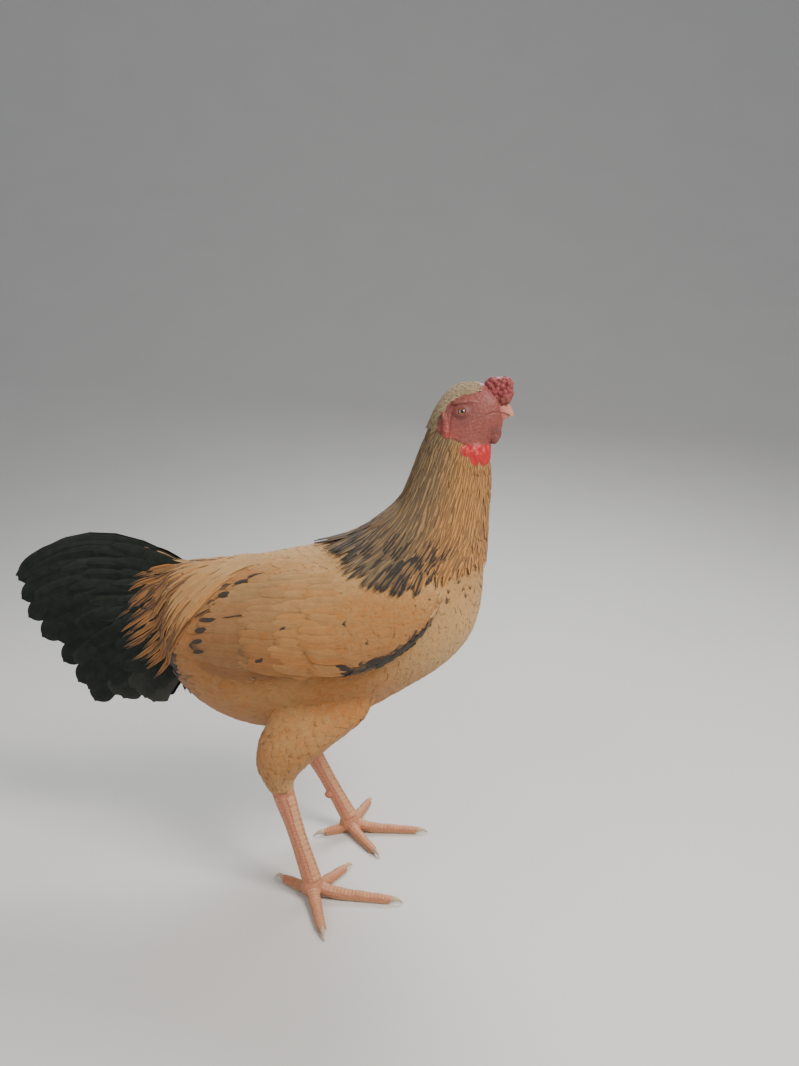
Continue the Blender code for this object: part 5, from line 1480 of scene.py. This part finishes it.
grain = horn.noise(horn.vector(beak_x * 60.0, beak_y * 260.0, beak_z * 380.0), 1.0)
web = horn.mix(HORN_RED, HORN_PINK, (to_tip + (grain - 0.5) * 0.6).clipped())
horn.wear(base_color=web, roughness=0.34 + grain * 0.22)
horn.bumps(grain, 0.25, 0.0003)


def half_round(x, wide, near, far, crown):
    """A ring with a near-flat side at height near and a domed one out to height far."""
    ring = []
    for j in range(BEAK_POINTS):
        a = math.pi * j / (BEAK_POINTS - 1)
        ring.append(Vector((x, wide * math.cos(a), near + (far - near) * math.sin(a) ** crown)))
    return ring


def mouth_edge(x):
    """Height of the line where the two halves close, hooking down towards the tip."""
    t = (x - BEAK_ROOT_X) / (BEAK_TIP.x - BEAK_ROOT_X)
    return between(MOUTH_Z, BEAK_TIP.z - BEAK_HOOK, t ** 3) + 0.0008 * math.sin(t * math.pi)


upper, lower = [], []
for k in range(BEAK_STEPS):
    t = k / BEAK_STEPS
    wide = BEAK_HALF_WIDTH * (1 - t ** 2.2) + 0.0010
    x = between(BEAK_ROOT_X, BEAK_TIP.x, t)
    top = between(BEAK_TOP, BEAK_TIP.z + 0.002, t ** 2.3)
    upper.append(half_round(x, wide, mouth_edge(x), top, 0.85))
    x = between(BEAK_ROOT_X, BEAK_TIP.x - LOWER_SHORTER, t)
    edge = mouth_edge(x) - LIP_GAP
    chin = between(BEAK_CHIN, edge - 0.0016, t ** 2.2)
    lower.append(half_round(x, wide * LOWER_NARROWER, edge, chin, 0.9))
upper_tip = BEAK_TIP - Vector((0.0002, 0, 0.0022))
lower_end = BEAK_TIP.x - 0.0036
lower_tip = Vector((lower_end, 0, mouth_edge(lower_end) - 0.0010))
for name, rings, tip in (("upper", upper, upper_tip), ("lower", lower, lower_tip)):
    shape = bmesh.new()
    add_loft(shape, rings, tip)
    half = new_piece(name + "_beak", shape)
    if name == "upper":
        (x, off, z), size, pitch = NOSTRIL
        slits = bmesh.new()
        for side in (-1, 1):
            add_bulb(slits, Vector((x, side * off, z)), size, pitch)
        nostrils = new_piece("nostrils", slits)
        carve = half.modifiers.new("Nostrils", "BOOLEAN")
        carve.object, carve.operation, carve.solver = nostrils, "DIFFERENCE", "EXACT"
        applied(half)
        bpy.data.objects.remove(nostrils)
    half.data.set_sharp_from_angle(angle=math.radians(50))
    half.data.materials.append(horn.made)
    seat(half, ("beak_" + name,))

# Head feathers
# Short soft feathers over the crown, the nape and behind the ears, pale at the rim. They leave the face
# bare and grow back from the comb, until their last row hangs over the top of the hackle.
CROWN_TRIES = 12
CROWN_SPACING = 0.132
CROWN_STRAY, FACE_STRAY = 0.0016, 0.0008
NAPE_TO_CROWN = (0.125, 0.168)
CROWN_SIZES = ((0.120, 0.0150), (0.135, 0.0125), (0.150, 0.0090), (0.185, 0.0052))
CROWN_RISES = np.array((-0.0012, 0.0000, 0.0006, 0.0009, 0.0009))
CROWN_HALF_WIDTH = 0.125
COMB_HALF_WIDTH = 0.0115
NAPE_RIM = ((0.110, 0.575), (0.120, 0.560), (0.128, 0.549), (0.150, 0.533))
HANG_ABOVE = 0.003
HANG_IN = 0.12
HEM_TURN = -0.25
FACE_EDGE = (
    # height, and how far forward feathers grow there
    (0.5300, 0.1280),
    (0.5450, 0.1300),
    (0.5600, 0.1345),
    (0.5720, 0.1390),
    (0.5820, 0.1490),
    (0.5880, 0.1640),
    (0.5920, 0.1830),
    (0.6050, 0.1870),
)
CROWN_CREAM = (0.38, 0.285, 0.165, 1.0)
CROWN_BROWN = (0.205, 0.135, 0.066, 1.0)
draw = np.random.default_rng(SEED + 13)
crown = np.repeat(skull_ground.points, CROWN_TRIES, 0)
crown, outward = skull_ground.under(crown + draw.normal(0, CROWN_STRAY, crown.shape))
crown = crown[outward[:, 2] > HEM_TURN]
face_edge = np.interp(crown[:, 2], *zip(*FACE_EDGE)) + draw.normal(0, FACE_STRAY, len(crown))
crown = crown[crown[:, 0] < face_edge]
over_comb = (crown[:, 0] > COMB_X[0] - 0.001) & (np.abs(crown[:, 1]) < COMB_HALF_WIDTH)
crown = crown[~over_comb & (crown[:, 2] > np.interp(crown[:, 0], *zip(*NAPE_RIM)))]
size = np.interp(crown[:, 0], *zip(*CROWN_SIZES)) * draw.uniform(0.85, 1.15, len(crown))
chosen = scattered(draw, crown, size * CROWN_SPACING)
crown, size = crown[chosen], size[chosen]
count = len(crown)
down_share = 1 - step_up(crown[:, 0], *NAPE_TO_CROWN)
heading = np.stack([-1.0 + 0.75 * down_share, 0.25 * np.sign(crown[:, 1]) * (1 - down_share),
                    0.1 - 1.05 * down_share], 1)
heading = unit(heading + draw.normal(0, 0.10, heading.shape))
lifts = CROWN_RISES[None] + draw.uniform(0, 0.0004, (count, 1))
paths, normals, across = laid(skull_ground, crown, heading, size, STATIONS, lifts)
way = heading
for k in range(1, len(STATIONS)):
    way = unit(way - normals[:, k - 1] * HANG_IN)
    onward = paths[:, k - 1] + way * (size * (STATIONS[k] - STATIONS[k - 1]))[:, None]
    hangs = onward[:, 2] < np.interp(onward[:, 0], *zip(*NAPE_RIM)) + HANG_ABOVE
    paths[hangs, k] = onward[hangs]
    normals[hangs, k] = normals[hangs, k - 1]
    across[hangs, k] = across[hangs, k - 1]
    way = unit(paths[:, k] - paths[:, k - 1])
lot = draw.random(count)
warm = np.clip(0.15 + 0.8 * step_up(0.594 - crown[:, 2], 0.0, 0.040) + (lot - 0.5) * 0.4, 0, 1)
marks = np.stack([warm, 0.12 * (lot > 0.7), 0.25 * (lot > 0.6), lot], 1)
crown_coat = Feathers()
crown_coat.add(paths, normals, across, (size * CROWN_HALF_WIDTH)[:, None] * ROUND_WEB, marks,
               homes_of(crown), thick=0.0003, camber=0.2, tilt=draw.normal(0, 0.08, (count, 1)), point=1.2)
crown_plumage = plumage("crown_plumage", CROWN_CREAM, CROWN_BROWN, SOOT, streak=0.15, edge_light=0.15,
                        depth=0.15)
seat(crown_coat.piece("crown_feathers", crown_plumage), ())


# Legs and feet
# Thick flesh-coloured shanks and spread toes, with a short blunt spur behind. The skin is one melted
# surface with small side scales and soft pads pressed flat on the floor. Broad overlapping plates run down
# the front and along each toe's top.
LEG_GRAIN = 0.0009
BALLS = {"right": Vector((-0.0087, -0.0774, 0.020)), "left": Vector((0.0096, 0.0717, 0.020))}
SHANK = (
    # half width across, half depth fore and aft
    (0.0112, 0.0132),
    (0.0098, 0.0118),
    (0.0083, 0.0101),
    (0.0081, 0.0100),
    (0.0088, 0.0106),
    (0.0104, 0.0114),
)
TOES = {
    # name: turn from straight ahead in degrees, counted outwards, length with the claw, plates
    "right": {
        "middle": (2.2, 0.109, 19),
        "outer": (68.3, 0.085, 15),
        "inner": (-61.4, 0.076, 13),
        "hind": (-149.6, 0.062, 9),
    },
    "left": {
        "middle": (3.0, 0.107, 19),
        "outer": (79.0, 0.091, 15),
        "inner": (-51.5, 0.081, 13),
        "hind": (-156.0, 0.050, 7),
    },
}
CLAW_LENGTH = 0.016
TOE_ROOT_RADIUS = 0.0083
TOE_END_RADIUS = 0.0050
SHANK_STEPS, SHANK_POINTS = 24, 28
TOE_STEPS, TOE_POINTS = 20, 20
CLAW_STEPS, CLAW_SUNK_STEPS, CLAW_POINTS = 14, 4, 16
CLAW_ARCH = 0.0022
SPUR_SHARE, SPUR_IN, SPUR_SIZE = 0.64, 0.0062, (0.0060, 0.0052, 0.0050)
PAD_DROP, PAD_SIZE = 0.0068, (0.0135, 0.0125, 0.0138)
UP = Vector((0, 0, 1))
PLATE_ROWS = (
    # turn round the shank from its front, plates, half width, pale share, red share
    (0.52, 17, 0.0064, 0.80, 0.05),
    (-0.52, 17, 0.0064, 0.80, 0.05),
    (1.42, 27, 0.0042, 0.10, 0.70),
    (-1.42, 27, 0.0042, 0.10, 0.70),
    (2.22, 25, 0.0040, 0.20, 0.55),
    (-2.22, 25, 0.0040, 0.20, 0.55),
    (2.88, 23, 0.0038, 0.40, 0.25),
    (-2.88, 23, 0.0038, 0.40, 0.25),
)
PAD_COUNTS = {"middle": 4.0, "outer": 4.5, "inner": 3.0, "hind": 2.0}


def shank_at(label, t):
    """The shank's middle, its ways forward and outward, half depth and half width, t from hock to foot."""
    top = HOCKS[label] + Vector((0.003, 0, 0.004))
    low = BALLS[label] + Vector((0, 0, 0.001))
    down = (low - top).normalized()
    wide, deep = eased(SHANK, t)
    fore = (Vector((0, -1, 0)).cross(down)).normalized()
    return top.lerp(low, t), fore, down.cross(fore).normalized(), deep, wide


def toe_at(label, side, toe, t):
    """The toe's middle, heading and radius at share t of its length without the claw."""
    turn, length, _ = TOES[label][toe]
    angle = math.radians(turn) * side
    heading = Vector((math.cos(angle), math.sin(angle), 0))
    knuckle = math.sin(t * math.pi * PAD_COUNTS[toe]) ** 2
    radius = between(TOE_ROOT_RADIUS, TOE_END_RADIUS, t ** 0.8) * (0.97 + 0.06 * knuckle)
    settle = max(0.0, 1 - t * 2.6) ** 1.5
    ball = BALLS[label]
    foot = Vector((ball.x, ball.y, between(radius - 0.0011, ball.z - 0.005, settle)))
    return foot + heading * (length - CLAW_LENGTH) * t, heading, radius


def leg_skin(label, side):
    """The skin of one shank with its spur, the ball of the foot and the four toes, in one surface."""
    shape = bmesh.new()
    rings = []
    for k in range(SHANK_STEPS + 1):
        middle, fore, out, deep, wide = shank_at(label, k / SHANK_STEPS)
        rings.append([
            middle + fore * deep * math.cos(a) + out * wide * math.sin(a) for a in round_turns(SHANK_POINTS)
        ])
    add_loft(shape, rings)
    place, fore, _, deep, _ = shank_at(label, SPUR_SHARE)
    add_bulb(shape, place - fore * deep * 0.72 + Vector((0, -side * SPUR_IN, 0)), SPUR_SIZE, 0.3)
    add_bulb(shape, BALLS[label] - UP * PAD_DROP, PAD_SIZE)
    for toe in TOES[label]:
        rings = []
        for k in range(TOE_STEPS + 1):
            middle, heading, radius = toe_at(label, side, toe, k / TOE_STEPS)
            across = heading.cross(UP)
            rings.append([
                middle + across * radius * math.cos(a) + Vector((0, 0, radius * 0.98 * math.sin(a)))
                for a in round_turns(TOE_POINTS)
            ])
        add_loft(shape, rings, middle + heading * radius * 0.55)
    return melted(new_piece("leg_skin_" + label, shape), LEG_GRAIN, 3)


PLATE_STATIONS = np.array((0.0, 0.35, 0.75, 1.0))
PLATE_WEB = np.array((0.86, 0.98, 1.0, 0.92))
PLATE_RISES = np.array((-0.00035, 0.00010, 0.00034, 0.00026))
PLATE_OVERLAP = 1.12
SHANK_BEND, TOE_BEND = 0.34, 0.50
TOE_TINT = (0.55, 0.15)


def leg_plates(label, side, draw):
    """Plates as short wide vanes bent round the limb, each raised at its far edge."""
    plates = Feathers()

    def lay(rows, bend):
        paths, normals, across, halves, tints = (np.array(part) for part in zip(*rows))
        lots = draw.random(len(rows))
        marks = np.stack([tints[:, 0], tints[:, 1], lots * 0, lots], 1)
        raised = paths + normals * PLATE_RISES[None, :, None]
        plates.add(raised, normals, across, halves[:, None] * PLATE_WEB, marks, homes_of(paths[:, 0]),
                   thick=0.0004, camber=bend, fine=True, point=0.10)

    rows = []
    for turn, count, wide, pale, red in PLATE_ROWS:
        for k in range(count):
            start = (k + (0.5 if turn > 0 else 0.0) + draw.uniform(-0.08, 0.08)) / (count + 0.6)
            path, normals, across = [], [], []
            for s in PLATE_STATIONS:
                t = min(1.0, 0.05 + 0.93 * (start + s * PLATE_OVERLAP / count))
                middle, fore, out, deep, width = shank_at(label, t)
                normal = (fore * math.cos(turn) / deep + out * math.sin(turn) / width).normalized()
                path.append(middle + fore * deep * math.cos(turn) + out * width * math.sin(turn))
                normals.append(normal)
                across.append((out * math.cos(turn) - fore * math.sin(turn)).normalized())
            rows.append((path, normals, across, wide * draw.uniform(0.93, 1.07), (pale, red)))
    lay(rows, SHANK_BEND)
    rows = []
    for toe, (_, _, count) in TOES[label].items():
        for k in range(count):
            path, across = [], []
            for s in PLATE_STATIONS:
                t = min(1.03, 0.13 + 0.90 * (k + s * PLATE_OVERLAP) / count)
                middle, heading, radius = toe_at(label, side, toe, t)
                path.append(middle + Vector((0, 0, radius * 0.98)))
                across.append(UP.cross(heading))
            radius = toe_at(label, side, toe, k / count)[2]
            half = radius * 0.84 * draw.uniform(0.95, 1.05)
            rows.append((path, [UP] * len(path), across, half, TOE_TINT))
    lay(rows, TOE_BEND)
    return plates


def claw_shape(label, side, toe):
    """A short blunt claw, oval in section, curving down to the floor."""
    root, heading, radius = toe_at(label, side, toe, 1.0)
    across = heading.cross(UP)
    shape = bmesh.new()
    rings = []
    for k in range(-CLAW_SUNK_STEPS, CLAW_STEPS):
        t = k / CLAW_STEPS
        out = max(0.0, t)
        size = radius * 0.72 * (1 - out ** 1.4 * 0.86)
        rise = between(root.z + 0.0008, size * 0.9, min(1.0, out ** 0.9 * 1.05))
        rise += CLAW_ARCH * math.sin(math.pi * out)
        middle = Vector((root.x, root.y, max(rise, size * 0.95))) + heading * (CLAW_LENGTH * t + 0.0015)
        rings.append([
            middle + across * size * 0.78 * math.cos(a) + Vector((0, 0, size * math.sin(a)))
            for a in round_turns(CLAW_POINTS)
        ])
    add_loft(shape, rings, Vector((root.x, root.y, 0.0009)) + heading * CLAW_LENGTH)
    return shape


FLESH = (0.49, 0.212, 0.106, 1.0)
FLESH_RED = (0.46, 0.150, 0.090, 1.0)
FLESH_PALE = (0.59, 0.365, 0.190, 1.0)
leg_finish = Finish("leg_flesh", subsurface_weight=0.10, subsurface_radius=(0.004, 0.002, 0.001), ior=1.42)
red_mark, sole_mark, _, hollow_shade = leg_finish.marks()
mottle = leg_finish.noise(leg_finish.place(), 130.0, 3.0)
web = leg_finish.mix(FLESH, FLESH_RED, (red_mark + (mottle - 0.5) * 0.6).clipped())
web = leg_finish.mix(web, FLESH_PALE, (sole_mark * 0.7).clipped())
# painted shade in the gaps between the scales
web = leg_finish.shaded(web, 1.04 - hollow_shade * 0.26)
leg_finish.wear(base_color=web, roughness=0.46 + mottle * 0.2)
leg_finish.bumps(leg_finish.noise(leg_finish.place(), 1500.0), 0.2, 0.0002)

plate_finish = Finish("leg_plate_horn", ior=1.45, subsurface_weight=0.08,
                      subsurface_radius=(0.003, 0.0015, 0.001))
pale_mark, red_mark, _, lot = plate_finish.marks()
u, v = plate_finish.vane()
mottle = plate_finish.noise(plate_finish.place(), 240.0)
pale = pale_mark * 0.40 + lot * 0.15 + (mottle - 0.5) * 0.4 + v.rising(0.60, 1.0) * 0.12
web = plate_finish.mix(FLESH, FLESH_PALE, pale.clipped())
rim = red_mark * 0.6 + abs(u * 2.0 - 1.0).rising(0.60, 1.0) * 0.30 + (1.0 - v.rising(0.0, 0.30)) * 0.40
web = plate_finish.mix(web, FLESH_RED, rim.clipped())
plate_finish.wear(base_color=web, roughness=0.38 + mottle * 0.2)
plate_finish.bumps(mottle, 0.2, 0.0003)

CLAW_BROWN = (0.36, 0.22, 0.13, 1.0)
CLAW_PALE = (0.60, 0.47, 0.32, 1.0)
claw_finish = Finish("claw_horn", ior=1.5)
grain = claw_finish.noise(claw_finish.place(), 320.0)
claw_finish.wear(base_color=claw_finish.mix(CLAW_BROWN, CLAW_PALE, grain), roughness=0.30 + grain * 0.2)

LEG_SCALE, LEG_SCALE_RISE = 0.0023, 0.00038
for label, side in SIDES:
    leg = leg_skin(label, side)
    places, normals = vertex_rows(leg.data, "co"), vertex_rows(leg.data, "normal")
    scales = warts(places, LEG_SCALE)
    low = 1 - step_up(places[:, 2], 0.002, 0.006)
    sole = low * (1 - step_up(normals[:, 2], -0.5, 0.1))
    places = places + normals * (LEG_SCALE_RISE * scales * (1 - 0.4 * low))[:, None]
    places[:, 2] = np.maximum(places[:, 2], 0.0)
    leg.data.vertices.foreach_set("co", places.ravel())
    outer_side = step_up(np.abs(normals[:, 1]), 0.5, 0.9) * step_up(places[:, 2], 0.02, 0.04)
    # the gaps between the scales are kept as a mark for painted shade
    redness, scale_gap_shade = 0.25 + 0.45 * outer_side, np.clip(1 - scales * 1.4, 0, 1)
    give_marks(leg.data, np.stack([redness, sole, sole * 0, scale_gap_shade], 1))
    leg.data.materials.append(leg_finish.made)
    toe_nodes = [f"toe_{toe}_{label}" for toe in TOES[label]]
    seat(leg, ("shank_" + label, "foot_" + label, *toe_nodes))
    plates = leg_plates(label, side, np.random.default_rng(SEED + 21))
    seat(plates.piece("leg_plates_" + label, plate_finish.made), ())
    for toe in TOES[label]:
        claw = new_piece(f"claw_horn_{toe}_{label}", claw_shape(label, side, toe))
        for vertex in claw.data.vertices:
            vertex.co.z = max(vertex.co.z, 0.0)
        claw.data.materials.append(claw_finish.made)
        seat(claw, (f"claw_{toe}_{label}",))


# The skin's own finish
# Thin skin under the coat: it carries the same marks as the feathers that grow from it.
DOWN_PALE = (0.34, 0.23, 0.12, 1.0)
DOWN_WARM = (0.24, 0.11, 0.045, 1.0)
skin_marks = body_marks(vertex_rows(skin.data, "co"), np.random.default_rng(SEED))
skin_marks[:, 2] = 0
give_marks(skin.data, skin_marks)
down = Finish("under_down", roughness=0.85, sheen_weight=0.2)
warmth, black, _, _ = down.marks()
fluff = down.noise(down.place(), 420.0)
web = down.shaded(down.mix(DOWN_PALE, DOWN_WARM, warmth), 0.55 + fluff * 0.6)
down.wear(base_color=down.mix(web, SOOT, (black * 0.8).clipped()))
down.bumps(fluff, 0.4, 0.0006)
skin.data.materials.append(down.made)
seat(skin, ())


# Floor, light and camera
# A pale plain floor that sweeps up into a backdrop, three soft lights, and the camera at the photo's angle.
CAMERA_PLACE = Vector((0.2825, -0.9044, 0.56))
CAMERA_AHEAD = Vector((-0.1132, 0.9936, 0.0))
CAMERA_DOWN = math.radians(8.349)
LENS, SENSOR_WIDTH, NEAREST_SEEN = 26.0, 36.0, 0.01
FLOOR_HALF_WIDTH = 8.0
FLOOR_NEAR = -3.0
FLOOR_UNDER = 0.0004
SWEEP_START = 1.2
SWEEP_RADIUS = 5.0
SWEEP_STEPS = 60
BACKDROP_TOP = 9.0
FLOOR_GREY = (0.60, 0.59, 0.57, 1.0)
FLOOR_PALE = (0.64, 0.63, 0.61, 1.0)
floor_shape = bmesh.new()
profile = [(FLOOR_NEAR, 0.0)]
for a in np.linspace(0.0, math.pi / 2, SWEEP_STEPS):
    profile.append((SWEEP_START + SWEEP_RADIUS * math.sin(a), SWEEP_RADIUS * (1 - math.cos(a))))
profile.append((SWEEP_START + SWEEP_RADIUS, BACKDROP_TOP))
left, right = (
    [floor_shape.verts.new((x, y, z)) for y, z in profile] for x in (-FLOOR_HALF_WIDTH, FLOOR_HALF_WIDTH)
)
for k in range(len(profile) - 1):
    floor_shape.faces.new((left[k], right[k], right[k + 1], left[k + 1]))
floor = new_piece("floor", floor_shape)
studio = Finish("studio_floor", roughness=0.6)
studio.wear(base_color=studio.mix(FLOOR_GREY, FLOOR_PALE, studio.noise(studio.place(), 3.0)))
floor.data.materials.append(studio.made)
floor.location.z = -FLOOR_UNDER

LAMPS = (
    # place, size, power, colour
    ((1.5, -1.0, 1.9), 0.9, 66.0, (1.0, 0.95, 0.88)),
    ((-1.2, -1.6, 1.3), 1.6, 16.0, (1.0, 0.97, 0.94)),
    ((0.4, 1.6, 2.2), 1.2, 52.0, (0.96, 0.98, 1.0)),
)
LAMP_AIM = Vector((0, 0, 0.32))
ROOM_TINT, ROOM_LIGHT = (0.92, 0.95, 1.0, 1.0), 0.40
for place, size, power, tint in LAMPS:
    lamp_data = bpy.data.lights.new("soft_light", "AREA")
    lamp_data.size, lamp_data.energy, lamp_data.color = size, power, tint
    lamp = bpy.data.objects.new("soft_light", lamp_data)
    lamp.visible_camera = False
    lamp.location = place
    lamp.rotation_euler = (LAMP_AIM - Vector(place)).to_track_quat("-Z", "Y").to_euler()
    bpy.context.scene.collection.objects.link(lamp)
world = bpy.data.worlds.new("soft_room")
world.use_nodes = True
room = world.node_tree.nodes["Background"].inputs
room["Color"].default_value, room["Strength"].default_value = ROOM_TINT, ROOM_LIGHT
bpy.context.scene.world = world

camera_data = bpy.data.cameras.new("camera")
camera_data.sensor_width, camera_data.lens, camera_data.clip_start = SENSOR_WIDTH, LENS, NEAREST_SEEN
camera = bpy.data.objects.new("camera", camera_data)
camera.location = CAMERA_PLACE
aim = CAMERA_AHEAD * math.cos(CAMERA_DOWN) - UP * math.sin(CAMERA_DOWN)
camera.rotation_euler = aim.to_track_quat("-Z", "Y").to_euler()
bpy.context.scene.collection.objects.link(camera)
bpy.context.scene.camera = camera
